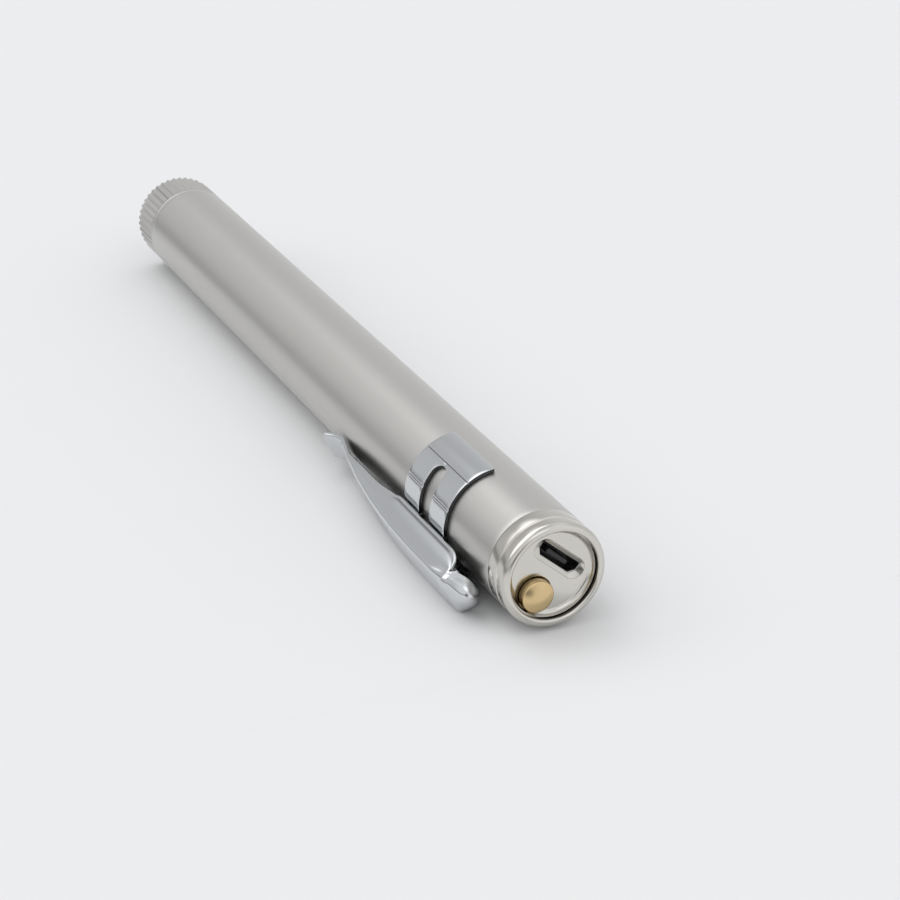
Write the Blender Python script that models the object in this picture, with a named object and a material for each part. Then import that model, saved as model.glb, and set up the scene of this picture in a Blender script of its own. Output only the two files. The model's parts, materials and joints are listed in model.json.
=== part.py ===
"""Rechargeable steel penlight with a spring clip, as an assembly of separate pieces.

The light lies on a surface as it would on a desk: its axis runs along +Y from the tail to the
head, its clip points down to one side and touches the surface, and the origin is the middle of
the bottom of the whole object. Lengths are metres, written in millimetres times MM. Positions
along the axis are measured from the tail rim and are called s in the comments.
"""

import math

import bmesh
import bpy
from mathutils import Matrix, Vector

MM = 0.001
SMOOTH_ANGLE = math.radians(35)
ROUND_STEPS = 64
SMALL_STEPS = 32
CURVE_STEPS = 8
FILLET_STEPS = 3
PIN_STEPS = 16
BAND_STEPS = 42
MERGE = 0.001 * MM

# Fits shared by the whole assembly
SEAT_GAP = 0.1 * MM
SLIP_GAP = 0.05 * MM

# Barrel, tail cap and head, along the axis
LIGHT_LENGTH = 150.0 * MM
BARREL_RADIUS = 7.5 * MM
BARREL_WALL = 0.8 * MM
TAIL_CAP_LENGTH = 4.7 * MM
BEZEL_LENGTH = 8.0 * MM

# Tail cap
SPIGOT_LENGTH = 7.0 * MM
SPIGOT_WALL = 0.55 * MM
RIM_WIDTH = 1.45 * MM
RECESS_DEPTH = 1.5 * MM
FLOOR_THICKNESS = 1.5 * MM
LIP_ROUND = 0.55 * MM
RIM_ROUND = 0.75 * MM
CAP_GROOVE_S = 2.3 * MM
CAP_GROOVE_WIDTH = 0.4 * MM
CAP_GROOVE_DEPTH = 0.35 * MM

# Board and what is soldered to it: the stack is rolled about the axis
STACK_ROLL = math.radians(40.6)
BOARD_THICKNESS = 0.8 * MM
BOARD_LENGTH = 26.0 * MM
PORT_ACROSS = 2.05 * MM
PORT_WIDTH = 7.5 * MM
PORT_HEIGHT = 2.4 * MM
PORT_WALL = 0.3 * MM
PORT_DEPTH = 5.0 * MM
PORT_CHAMFER = 0.8 * MM
PORT_CORNER = 0.25 * MM
PORT_POCKET_SIDE_GAP = 0.6 * MM
PORT_POCKET_FACE_GAP = 0.3 * MM
PORT_POCKET_DEPTH = 0.4 * MM
TONGUE_WIDTH = 3.8 * MM
TONGUE_THICKNESS = 0.6 * MM
TONGUE_SETBACK = 0.7 * MM
TONGUE_BLOCK = 1.2 * MM
CHIP_SIDE = 4.0 * MM
CHIP_THICKNESS = 1.0 * MM
CHIP_SETBACK = 3.0 * MM

# Push button and switch
BUTTON_RADIUS = 2.2 * MM
BUTTON_HOLE_GAP = 0.2 * MM
BUTTON_PROUD = 1.45 * MM
BUTTON_CROWN = 0.45 * MM
BUTTON_FLANGE_LIP = 0.1 * MM
BUTTON_WALL_GAP = 0.1 * MM
BUTTON_FLANGE_THICKNESS = 0.6 * MM
BUTTON_TRAVEL = 0.5 * MM
PLUNGER_RADIUS = 0.9 * MM
PLUNGER_LENGTH = 1.6 * MM
SWITCH_WIDTH = 4.4 * MM
SWITCH_DEPTH = 4.0 * MM
SWITCH_BELOW_BUTTON = 1.8 * MM

# Cell, sleeve and leads
SLEEVE_WALL = 1.25 * MM
CELL_LENGTH = 44.0 * MM
CELL_NUB_RADIUS = 2.5 * MM
CELL_NUB_LENGTH = 0.6 * MM
CELL_S = 40.0 * MM
SLEEVE_S = 33.0 * MM
SLEEVE_SLOT_WIDTH = 4.2 * MM
LEAD_RADIUS = 0.4 * MM
LEAD_PITCH = 1.3 * MM
LEAD_DROP = 4.0 * MM

# Head
PILL_LENGTH = 6.5 * MM
LED_BOARD_THICKNESS = 1.0 * MM
LED_BOARD_GAP = 0.4 * MM
EMITTER_RADIUS = 1.75 * MM
EMITTER_BASE = 0.9 * MM
EMITTER_DOME = 1.3 * MM
BEZEL_SPIGOT_LENGTH = 4.0 * MM
BEZEL_WALL = 1.25 * MM
BEZEL_SEAT = 0.8 * MM
BEZEL_LIP = 1.5 * MM
BEZEL_ROUND = 0.6 * MM
FLUTE_COUNT = 42
FLUTE_DEPTH = 0.3 * MM
FLUTE_LAND = 0.6
FLUTE_END = 0.5 * MM
LENS_THICKNESS = 1.6 * MM
LENS_CROWN = 0.35 * MM
SEAL_THICKNESS = 0.4 * MM
SEAL_WIDTH = 0.6 * MM
REFLECTOR_WALL = 0.5 * MM
REFLECTOR_THROAT = 2.1 * MM

# Clip band: an open ring on the barrel with a window on each side and two ears
BAND_S = 17.25 * MM
BAND_WIDTH = 13.0 * MM
BAND_THICKNESS = 0.55 * MM
BAND_HALF_ANGLE = math.radians(114)
WINDOW_WIDTH = 3.3 * MM
WINDOW_TOP_ANGLE = math.radians(79)
EAR_END_RADIUS = 1.25 * MM

# Clip lever: a boat-shaped channel that rocks on a pin through the ears
LEVER_HALF_WIDTH = 3.25 * MM
LEVER_SHEET = 0.6 * MM
LEVER_BEND = 0.75 * MM
LEVER_BEND_SHARE = 0.8
LEVER_CROWN_HEIGHT = 4.6 * MM
LEVER_CROWN_S = 17.0 * MM
LEVER_JAW_S = 53.0 * MM
LEVER_END_S = 57.2 * MM
LEVER_FALL_POWER = 2.35
LEVER_JAW_HALF_WIDTH = 2.4 * MM
LEVER_FLARE_RADIUS = 6.5 * MM
LEVER_BOW_S = 10.0 * MM
LEVER_BOW_LENGTH = 3.9 * MM
LEVER_BOW_DROP = 2.3 * MM
LEVER_TIP_RISE = 0.5 * MM
LEVER_EDGE_CLEAR = 0.12 * MM
LEVER_CORNER_S = 14.2 * MM
LEVER_EDGE_RISE = 0.7 * MM
LEVER_RISE_RUN = 8.0 * MM
BOW_STATIONS = 6
CORNER_STATIONS = 5
BODY_STATIONS = 12
LIP_STATIONS = 3
PIVOT_HEIGHT = 2.2 * MM
PIN_RADIUS = 0.6 * MM
PIN_SOCKET_DEPTH = 0.35 * MM
SPRING_WIRE_RADIUS = 0.2 * MM
SPRING_COIL_RADIUS = 1.15 * MM
SPRING_TURNS = 3
SPRING_PITCH = 0.85 * MM
SPRING_POINTS_PER_TURN = 10
SPRING_LEG_DROP = 0.6 * MM

# Sizes that follow from the ones above
BARREL_BORE = BARREL_RADIUS - BARREL_WALL
BARREL_START = TAIL_CAP_LENGTH + SEAT_GAP
BEZEL_START = LIGHT_LENGTH - BEZEL_LENGTH
BARREL_END = BEZEL_START - SEAT_GAP
SPIGOT_RADIUS = BARREL_BORE - SLIP_GAP
SPIGOT_BORE = SPIGOT_RADIUS - SPIGOT_WALL
RECESS_RADIUS = BARREL_RADIUS - RIM_WIDTH
FLOOR_BACK = RECESS_DEPTH + FLOOR_THICKNESS
BOARD_START = FLOOR_BACK + 3 * SEAT_GAP
BOARD_END = BOARD_START + BOARD_LENGTH
BOARD_TOP = PORT_ACROSS - PORT_HEIGHT / 2 - SLIP_GAP
BOARD_BOTTOM = BOARD_TOP - BOARD_THICKNESS
BUTTON_HOLE_RADIUS = BUTTON_RADIUS + BUTTON_HOLE_GAP
BUTTON_FLANGE_RADIUS = BUTTON_HOLE_RADIUS + BUTTON_FLANGE_LIP
BUTTON_ACROSS = BUTTON_FLANGE_RADIUS + BUTTON_WALL_GAP - SPIGOT_BORE
BUTTON_FLANGE_S = FLOOR_BACK + SEAT_GAP
BUTTON_END = BUTTON_FLANGE_S + BUTTON_FLANGE_THICKNESS
SWITCH_S = BUTTON_END + BUTTON_TRAVEL + 2 * SEAT_GAP
CELL_END = CELL_S + CELL_LENGTH
PILL_END = BEZEL_START - BEZEL_SPIGOT_LENGTH - 4 * SEAT_GAP
PILL_S = PILL_END - PILL_LENGTH
SLEEVE_END = PILL_S - 5 * SEAT_GAP
SLEEVE_RADIUS = BARREL_BORE - SEAT_GAP
SLEEVE_BORE = SLEEVE_RADIUS - SLEEVE_WALL
CELL_RADIUS = SLEEVE_BORE - 2 * SEAT_GAP
BEZEL_BORE_RADIUS = SPIGOT_RADIUS - BEZEL_WALL
BEZEL_MOUTH_RADIUS = BEZEL_BORE_RADIUS - BEZEL_SEAT
LED_BOARD_RADIUS = BEZEL_BORE_RADIUS - LED_BOARD_GAP
LED_BOARD_S = PILL_END + SEAT_GAP
EMITTER_S = LED_BOARD_S + LED_BOARD_THICKNESS + SEAT_GAP
LENS_END = LIGHT_LENGTH - BEZEL_LIP - SEAT_GAP
LENS_S = LENS_END - LENS_THICKNESS
SEAL_S = LENS_S - SEAT_GAP - SEAL_THICKNESS
REFLECTOR_END = SEAL_S - SEAT_GAP
REFLECTOR_S = EMITTER_S + 2 * SEAT_GAP
GLASS_RADIUS = BEZEL_BORE_RADIUS - SEAT_GAP
BAND_BORE = BARREL_RADIUS + SLIP_GAP
BAND_RADIUS = BAND_BORE + BAND_THICKNESS
BAND_MIDDLE = BAND_S + BAND_WIDTH / 2
CROWN_RADIUS = BARREL_RADIUS + LEVER_CROWN_HEIGHT
JAW_RADIUS = BARREL_RADIUS + SLIP_GAP + LEVER_SHEET
LEVER_INNER_HALF = LEVER_HALF_WIDTH - LEVER_SHEET
EAR_OUTER = LEVER_INNER_HALF - SEAT_GAP
EAR_INNER = EAR_OUTER - BAND_THICKNESS
PIVOT_RADIUS = BARREL_RADIUS + PIVOT_HEIGHT
PIVOT_S = BAND_S + EAR_END_RADIUS + 2 * SEAT_GAP
PIN_HOLE_RADIUS = PIN_RADIUS + SLIP_GAP
EDGE_RADIUS = math.sqrt(BAND_RADIUS**2 - LEVER_INNER_HALF**2) + LEVER_EDGE_CLEAR
FLOOR_DROP = BAND_RADIUS


def lying_angle():
    """Angle of the clip below level at which the band and the lever's lower bend both touch the surface."""
    bend_out = CROWN_RADIUS - LEVER_BEND
    bend_side = LEVER_HALF_WIDTH - LEVER_BEND
    reach = math.hypot(bend_out, bend_side)
    return math.asin((FLOOR_DROP - LEVER_BEND) / reach) - math.atan2(bend_side, bend_out)


CLIP_DROP = lying_angle()
CLIP_REACH = (
    (CROWN_RADIUS - LEVER_BEND) * math.cos(CLIP_DROP)
    + (LEVER_HALF_WIDTH - LEVER_BEND) * math.sin(CLIP_DROP)
    + LEVER_BEND
)


def clear_scene():
    for thing in list(bpy.data.objects):
        bpy.data.objects.remove(thing, do_unlink=True)


def material(name, colour, roughness, metallic):
    made = bpy.data.materials.new(name)
    made.use_nodes = True
    shader = made.node_tree.nodes["Principled BSDF"]
    shader.inputs["Base Color"].default_value = (*colour, 1.0)
    shader.inputs["Roughness"].default_value = roughness
    shader.inputs["Metallic"].default_value = metallic
    return made


def empty(name, parent=None, location=(0, 0, 0), roll=0.0):
    made = bpy.data.objects.new(name, None)
    bpy.context.collection.objects.link(made)
    made.parent = parent
    made.location = location
    made.rotation_euler = (0, roll, 0)
    return made


def add_object(name, data, parent, at, finish):
    made = bpy.data.objects.new(name, data)
    bpy.context.collection.objects.link(made)
    made.parent = parent
    if finish is not None:
        data.materials.append(finish)
    if at is not None:
        data.transform(Matrix.Translation(-Vector(at)))
    return made


def piece(name, shape, parent, finish=None, at=None):
    """Object from a bmesh drawn in the frame that holds the parent; at is the parent's place in it."""
    bmesh.ops.recalc_face_normals(shape, faces=shape.faces)
    mesh = bpy.data.meshes.new(name)
    shape.to_mesh(mesh)
    shape.free()
    mesh.shade_smooth()
    mesh.set_sharp_from_angle(angle=SMOOTH_ANGLE)
    return add_object(name, mesh, parent, at, finish)


def cutter(name, shape, parent):
    made = piece(name, shape, parent)
    made.hide_render = True
    made.display_type = "WIRE"
    return made


def combine(target, tool, operation):
    step = target.modifiers.new(tool.name, "BOOLEAN")
    step.operation = operation
    step.solver = "EXACT"
    step.object = tool


def arc(centre, radius, start, end, steps):
    """Points of an arc in a plane, angles in radians, both ends included."""
    turns = [start + (end - start) * i / steps for i in range(steps + 1)]
    return [(centre[0] + radius * math.cos(a), centre[1] + radius * math.sin(a)) for a in turns]


def turned(outline, steps=ROUND_STEPS):
    """Solid of revolution about Y from (radius, s) points; an outline off the axis is closed into a ring."""
    shape = bmesh.new()
    points = [shape.verts.new((radius, s, 0)) for radius, s in outline]
    edges = [shape.edges.new(pair) for pair in zip(points, points[1:])]
    if outline[0][0] > 0:
        edges.append(shape.edges.new((points[-1], points[0])))
    bmesh.ops.spin(
        shape,
        geom=points + edges,
        cent=(0, 0, 0),
        axis=(0, 1, 0),
        angle=2 * math.pi,
        steps=steps,
        use_merge=True,
    )
    bmesh.ops.remove_doubles(shape, verts=shape.verts, dist=MERGE)
    return shape


def prism(outline, start, end, direction="Y"):
    """Outline of (first, second) points carried along Y, as (x, z), or along Z, as (x, y)."""
    shape = bmesh.new()
    if direction == "Y":
        points = [shape.verts.new((first, start, second)) for first, second in outline]
        path = Vector((0, end - start, 0))
    else:
        points = [shape.verts.new((first, second, start)) for first, second in outline]
        path = Vector((0, 0, end - start))
    face = shape.faces.new(points)
    grown = bmesh.ops.extrude_face_region(shape, geom=[face])
    moved = [thing for thing in grown["geom"] if isinstance(thing, bmesh.types.BMVert)]
    bmesh.ops.translate(shape, verts=moved, vec=path)
    return shape


def box(low, high):
    outline = [(low[0], low[2]), (high[0], low[2]), (high[0], high[2]), (low[0], high[2])]
    return prism(outline, low[1], high[1])


def loft(sections):
    """Closed skin through sections of equal point count, with flat ends, all in triangles for clean cuts."""
    shape = bmesh.new()
    rings = [[shape.verts.new(point) for point in section] for section in sections]
    count = len(rings[0])
    for near, far in zip(rings, rings[1:]):
        for i in range(count):
            j = (i + 1) % count
            shape.faces.new((near[i], near[j], far[j], far[i]))
    shape.faces.new(rings[0])
    shape.faces.new(rings[-1])
    bmesh.ops.triangulate(shape, faces=shape.faces)
    return shape


def moved(shape, offset):
    bmesh.ops.translate(shape, verts=shape.verts, vec=offset)
    return shape


def wire(name, points, radius, parent, finish):
    """Round wire through points, with closed ends."""
    curve = bpy.data.curves.new(name, "CURVE")
    curve.dimensions = "3D"
    curve.bevel_depth = radius
    curve.bevel_resolution = 1
    curve.use_fill_caps = True
    spline = curve.splines.new("POLY")
    spline.points.add(len(points) - 1)
    for knot, point in zip(spline.points, points):
        knot.co = (*point, 1.0)
    return add_object(name, curve, parent, None, finish)


def make_barrel(pen, steel):
    chamfer = SEAT_GAP
    outline = [
        (BARREL_BORE, BARREL_START),
        (BARREL_RADIUS - chamfer, BARREL_START),
        (BARREL_RADIUS, BARREL_START + chamfer),
        (BARREL_RADIUS, BARREL_END - chamfer),
        (BARREL_RADIUS - chamfer, BARREL_END),
        (BARREL_BORE, BARREL_END),
    ]
    piece("barrel_tube", turned(outline), pen, steel)


def make_tail_cap(pen, stack, steel):
    groove_low = CAP_GROOVE_S - CAP_GROOVE_WIDTH / 2
    groove_high = CAP_GROOVE_S + CAP_GROOVE_WIDTH / 2
    groove_radius = BARREL_RADIUS - CAP_GROOVE_DEPTH
    lip = arc((RECESS_RADIUS + LIP_ROUND, LIP_ROUND), LIP_ROUND, math.pi, 1.5 * math.pi, FILLET_STEPS)
    rim = arc((BARREL_RADIUS - RIM_ROUND, RIM_ROUND), RIM_ROUND, -math.pi / 2, 0, FILLET_STEPS)
    outline = [(0, RECESS_DEPTH), (RECESS_RADIUS, RECESS_DEPTH), *lip, *rim]
    outline += [
        (BARREL_RADIUS, groove_low),
        (groove_radius, groove_low + SEAT_GAP),
        (groove_radius, groove_high - SEAT_GAP),
        (BARREL_RADIUS, groove_high),
        (BARREL_RADIUS, TAIL_CAP_LENGTH),
        (SPIGOT_RADIUS, TAIL_CAP_LENGTH),
        (SPIGOT_RADIUS, TAIL_CAP_LENGTH + SPIGOT_LENGTH),
        (SPIGOT_BORE, TAIL_CAP_LENGTH + SPIGOT_LENGTH),
        (SPIGOT_BORE, FLOOR_BACK),
        (0, FLOOR_BACK),
    ]
    cap = piece("tail_cap", turned(outline), pen, steel)

    half_height = PORT_HEIGHT / 2 + PORT_POCKET_FACE_GAP
    half_run = PORT_WIDTH / 2 + PORT_POCKET_SIDE_GAP - half_height
    pocket = arc((half_run, PORT_ACROSS), half_height, -math.pi / 2, math.pi / 2, CURVE_STEPS)
    pocket += arc((-half_run, PORT_ACROSS), half_height, math.pi / 2, 1.5 * math.pi, CURVE_STEPS)
    past = FLOOR_THICKNESS
    pocket_tool = prism(pocket, RECESS_DEPTH - past, RECESS_DEPTH + PORT_POCKET_DEPTH)
    combine(cap, cutter("port_pocket_cut", pocket_tool, stack), "DIFFERENCE")
    slot_tool = prism(port_outline(-SEAT_GAP), RECESS_DEPTH, FLOOR_BACK + past)
    combine(cap, cutter("port_slot_cut", slot_tool, stack), "DIFFERENCE")

    hole = arc((0, BUTTON_ACROSS), BUTTON_HOLE_RADIUS, 0, 2 * math.pi, SMALL_STEPS)[:-1]
    hole_tool = cutter("button_hole_cut", prism(hole, RECESS_DEPTH - past, FLOOR_BACK + past), stack)
    combine(cap, hole_tool, "DIFFERENCE")


def port_outline(inset):
    """Port section: a rectangle with large cut corners on the board's side and small ones on the other."""
    half = PORT_WIDTH / 2 - inset
    low = PORT_ACROSS - PORT_HEIGHT / 2 + inset
    high = PORT_ACROSS + PORT_HEIGHT / 2 - inset
    cut = PORT_CHAMFER
    return [
        (-half, low + cut),
        (-half + cut, low),
        (half - cut, low),
        (half, low + cut),
        (half, high - PORT_CORNER),
        (half - PORT_CORNER, high),
        (-half + PORT_CORNER, high),
        (-half, high - PORT_CORNER),
    ]


def make_port(stack, shell_metal, plastic):
    start = RECESS_DEPTH + SEAT_GAP
    end = start + PORT_DEPTH
    shell = piece("usb_shell", prism(port_outline(0), start, end), stack, shell_metal)
    hollow = prism(port_outline(PORT_WALL), start - PORT_WALL, end - PORT_WALL)
    combine(shell, cutter("usb_shell_hollow", hollow, stack), "DIFFERENCE")

    block_end = end - PORT_WALL - SLIP_GAP
    block_start = block_end - TONGUE_BLOCK
    insulator = prism(port_outline(PORT_WALL + SLIP_GAP), block_start, block_end)
    part = piece("usb_insulator", insulator, stack, plastic)
    low = PORT_ACROSS - TONGUE_THICKNESS / 2
    high = PORT_ACROSS + TONGUE_THICKNESS / 2
    tongue = box(
        (-TONGUE_WIDTH / 2, start + TONGUE_SETBACK, low),
        (TONGUE_WIDTH / 2, block_start + TONGUE_BLOCK / 2, high),
    )
    combine(part, cutter("usb_tongue_join", tongue, stack), "UNION")


def make_board(stack, board_green, chip_black):
    half = math.sqrt((SPIGOT_BORE - 2 * SEAT_GAP) ** 2 - max(BOARD_TOP, -BOARD_BOTTOM) ** 2)
    board = box((-half, BOARD_START, BOARD_BOTTOM), (half, BOARD_END, BOARD_TOP))
    piece("control_board", board, stack, board_green)
    chip_start = RECESS_DEPTH + PORT_DEPTH + CHIP_SETBACK
    chip_low = BOARD_TOP + SLIP_GAP
    chip = box(
        (-CHIP_SIDE / 2, chip_start, chip_low),
        (CHIP_SIDE / 2, chip_start + CHIP_SIDE, chip_low + CHIP_THICKNESS),
    )
    piece("charge_chip", chip, stack, chip_black)


def make_switch(stack, button_axis, brass, plunger_white, switch_black):
    place = (0, 0, BUTTON_ACROSS)
    top = RECESS_DEPTH - BUTTON_PROUD
    crown_radius = (BUTTON_RADIUS**2 + BUTTON_CROWN**2) / (2 * BUTTON_CROWN)
    half_angle = math.asin(BUTTON_RADIUS / crown_radius)
    dome = arc((0, top + crown_radius), crown_radius, -math.pi / 2, -math.pi / 2 + half_angle, CURVE_STEPS)
    outline = [(0, top), *dome[1:]]
    outline += [
        (BUTTON_RADIUS, BUTTON_FLANGE_S),
        (BUTTON_FLANGE_RADIUS, BUTTON_FLANGE_S),
        (BUTTON_FLANGE_RADIUS, BUTTON_END),
        (0, BUTTON_END),
    ]
    piece("button_cap", moved(turned(outline, SMALL_STEPS), place), button_axis, brass, place)

    plunger_start = BUTTON_END + SLIP_GAP
    plunger_end = plunger_start + PLUNGER_LENGTH
    plunger = turned(
        [
            (0, plunger_start),
            (PLUNGER_RADIUS, plunger_start),
            (PLUNGER_RADIUS, plunger_end),
            (0, plunger_end),
        ],
        SMALL_STEPS,
    )
    piece("switch_plunger", moved(plunger, place), button_axis, plunger_white, place)

    body = box(
        (-SWITCH_WIDTH / 2, SWITCH_S, BUTTON_ACROSS - SWITCH_BELOW_BUTTON),
        (SWITCH_WIDTH / 2, SWITCH_S + SWITCH_DEPTH, BOARD_BOTTOM - SLIP_GAP),
    )
    switch = piece("switch_body", body, stack, switch_black)
    bore_radius = PLUNGER_RADIUS + SEAT_GAP
    bore_end = plunger_end + BUTTON_TRAVEL + SEAT_GAP
    bore = turned(
        [(0, BUTTON_END), (bore_radius, BUTTON_END), (bore_radius, bore_end), (0, bore_end)],
        SMALL_STEPS,
    )
    combine(switch, cutter("switch_bore_cut", moved(bore, place), stack), "DIFFERENCE")


def make_cell(stack, wrap, sleeve_white, spacer_grey):
    cell = turned(
        [
            (0, CELL_S),
            (CELL_RADIUS, CELL_S),
            (CELL_RADIUS, CELL_END),
            (CELL_NUB_RADIUS, CELL_END),
            (CELL_NUB_RADIUS, CELL_END + CELL_NUB_LENGTH),
            (0, CELL_END + CELL_NUB_LENGTH),
        ],
        SMALL_STEPS,
    )
    piece("battery_cell", cell, stack, wrap)

    half_slot = math.asin(SLEEVE_SLOT_WIDTH / 2 / SLEEVE_BORE)
    start = math.pi / 2 + half_slot
    end = 2.5 * math.pi - half_slot
    section = arc((0, 0), SLEEVE_RADIUS, start, end, SMALL_STEPS)
    section += arc((0, 0), SLEEVE_BORE, end, start, SMALL_STEPS)
    piece("cell_sleeve", prism(section, SLEEVE_S, SLEEVE_END), stack, sleeve_white)

    spacer_radius = SLEEVE_BORE - SEAT_GAP
    spacer_start = CELL_END + CELL_NUB_LENGTH + SEAT_GAP
    spacer_end = SLEEVE_END - LEAD_DROP - LEAD_RADIUS
    spacer = turned(
        [(0, spacer_start), (spacer_radius, spacer_start), (spacer_radius, spacer_end), (0, spacer_end)],
        SMALL_STEPS,
    )
    piece("cell_spacer", spacer, stack, spacer_grey)


def make_leads(stack, red, black):
    run = (SLEEVE_BORE + SLEEVE_RADIUS) / 2
    on_board = BOARD_TOP + LEAD_RADIUS + SLIP_GAP
    solder_s = BOARD_END - 3 * LEAD_RADIUS
    rise_s = SLEEVE_S + 2 * LEAD_RADIUS
    pill_hole = LED_BOARD_RADIUS - 3 * LEAD_RADIUS
    for name, side, colour in (("led_lead_plus", 1, red), ("led_lead_minus", -1, black)):
        across = side * LEAD_PITCH
        height = math.sqrt(run**2 - across**2)
        points = [
            (across, solder_s, on_board),
            (across, BOARD_END, on_board),
            (across, rise_s, height),
            (across, SLEEVE_END - LEAD_DROP, height),
            (across, PILL_S - SEAT_GAP, pill_hole),
            (across, PILL_END, pill_hole),
        ]
        wire(name, points, LEAD_RADIUS, stack, colour)
    points = [(0, solder_s, on_board), (0, BOARD_END, on_board), (0, rise_s, run), (0, CELL_END, run)]
    wire("battery_lead_plus", points, LEAD_RADIUS, stack, red)
    under = BOARD_BOTTOM - LEAD_RADIUS - SLIP_GAP
    points = [(0, solder_s, under), (0, CELL_S - SEAT_GAP, under)]
    wire("battery_lead_minus", points, LEAD_RADIUS, stack, black)


def make_light_engine(stack, brass, board_white, emitter_yellow, bright):
    pill = turned(
        [(0, PILL_S), (SPIGOT_RADIUS, PILL_S), (SPIGOT_RADIUS, PILL_END), (0, PILL_END)],
        ROUND_STEPS,
    )
    pill_piece = piece("led_pill", pill, stack, brass)
    pill_hole = LED_BOARD_RADIUS - 3 * LEAD_RADIUS
    for name, side in (("lead_hole_plus", 1), ("lead_hole_minus", -1)):
        hole = arc((side * LEAD_PITCH, pill_hole), LEAD_RADIUS + SEAT_GAP, 0, 2 * math.pi, PIN_STEPS)[:-1]
        tool = cutter(name, prism(hole, PILL_S - LEAD_RADIUS, PILL_END + LEAD_RADIUS), stack)
        combine(pill_piece, tool, "DIFFERENCE")

    board_end = LED_BOARD_S + LED_BOARD_THICKNESS
    board = turned(
        [(0, LED_BOARD_S), (LED_BOARD_RADIUS, LED_BOARD_S), (LED_BOARD_RADIUS, board_end), (0, board_end)],
        SMALL_STEPS,
    )
    piece("led_board", board, stack, board_white)

    dome = arc((0, EMITTER_S + EMITTER_BASE), EMITTER_DOME, 0, math.pi / 2, CURVE_STEPS)
    base_end = EMITTER_S + EMITTER_BASE
    outline = [(0, EMITTER_S), (EMITTER_RADIUS, EMITTER_S), (EMITTER_RADIUS, base_end), *dome[:-1]]
    outline.append((0, EMITTER_S + EMITTER_BASE + EMITTER_DOME))
    piece("led_emitter", turned(outline, SMALL_STEPS), stack, emitter_yellow)

    depth = REFLECTOR_END - REFLECTOR_S
    mouth = GLASS_RADIUS - REFLECTOR_WALL
    bowl = []
    for i in range(CURVE_STEPS + 1):
        share = i / CURVE_STEPS
        radius = REFLECTOR_THROAT + (mouth - REFLECTOR_THROAT) * math.sqrt(share)
        bowl.append((radius, REFLECTOR_S + depth * share))
    outline = [(GLASS_RADIUS, REFLECTOR_END), (GLASS_RADIUS, REFLECTOR_S), *bowl]
    piece("reflector", turned(outline, ROUND_STEPS), stack, bright)


def make_head(bezel_axis, steel, glass, rubber):
    place = (0, BEZEL_START, 0)
    lens_crown = (BEZEL_MOUTH_RADIUS**2 + LENS_CROWN**2) / (2 * LENS_CROWN)
    half_angle = math.asin((BEZEL_MOUTH_RADIUS - SEAT_GAP) / lens_crown)
    crown_centre = LENS_END + LENS_CROWN - lens_crown
    crown = arc((0, crown_centre), lens_crown, math.pi / 2 - half_angle, math.pi / 2, CURVE_STEPS)
    top = (0, LENS_END + LENS_CROWN)
    outline = [(0, LENS_S), (GLASS_RADIUS, LENS_S), (GLASS_RADIUS, LENS_END), *crown[:-1], top]
    piece("front_lens", turned(outline, ROUND_STEPS), bezel_axis, glass, place)

    seal_end = SEAL_S + SEAL_THICKNESS
    seal_bore = GLASS_RADIUS - SEAL_WIDTH
    seal = [(seal_bore, SEAL_S), (GLASS_RADIUS, SEAL_S), (GLASS_RADIUS, seal_end), (seal_bore, seal_end)]
    piece("lens_seal", turned(seal, ROUND_STEPS), bezel_axis, rubber, place)

    piece("head_bezel", fluted_bezel(), bezel_axis, steel, place)


def fluted_bezel():
    """Bezel ring: rings of points round the axis, drawn in at the flutes by a share given for each ring."""
    spigot_start = BEZEL_START - BEZEL_SPIGOT_LENGTH
    round_centre = LIGHT_LENGTH - BEZEL_ROUND
    lens_seat = LIGHT_LENGTH - BEZEL_LIP
    mouth_chamfer = BEZEL_LIP / 3
    rings = [
        (BEZEL_BORE_RADIUS, spigot_start, 0),
        (SPIGOT_RADIUS, spigot_start, 0),
        (SPIGOT_RADIUS, BEZEL_START, 0),
        (BARREL_RADIUS, BEZEL_START, 0),
        (BARREL_RADIUS, BEZEL_START + FLUTE_END, 0),
        (BARREL_RADIUS, BEZEL_START + FLUTE_END + FLUTE_DEPTH, 1),
        (BARREL_RADIUS, round_centre, 1),
    ]
    corner = arc((BARREL_RADIUS - BEZEL_ROUND, round_centre), BEZEL_ROUND, 0, math.pi / 2, FILLET_STEPS)
    rings.append((corner[1][0], corner[1][1], 0.6))
    rings += [(radius, s, 0) for radius, s in corner[2:4]]
    rings += [
        (BEZEL_MOUTH_RADIUS + mouth_chamfer, LIGHT_LENGTH, 0),
        (BEZEL_MOUTH_RADIUS, LIGHT_LENGTH - mouth_chamfer, 0),
        (BEZEL_MOUTH_RADIUS, lens_seat, 0),
        (BEZEL_BORE_RADIUS, lens_seat, 0),
    ]
    pitch = 2 * math.pi / FLUTE_COUNT
    spots = []
    for flute in range(FLUTE_COUNT):
        spots.append((pitch * (flute - FLUTE_LAND / 2), 0))
        spots.append((pitch * (flute + FLUTE_LAND / 2), 0))
        spots.append((pitch * (flute + 0.5), 1))
    sections = []
    for radius, s, share in rings:
        section = []
        for angle, cut in spots:
            reach = radius - FLUTE_DEPTH * share * cut
            section.append((reach * math.cos(angle), s, reach * math.sin(angle)))
        sections.append(section)
    shape = bmesh.new()
    made = [[shape.verts.new(point) for point in section] for section in sections]
    for near, far in zip(made, made[1:] + made[:1]):
        for i in range(len(spots)):
            j = (i + 1) % len(spots)
            shape.faces.new((near[i], near[j], far[j], far[i]))
    return shape


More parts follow.
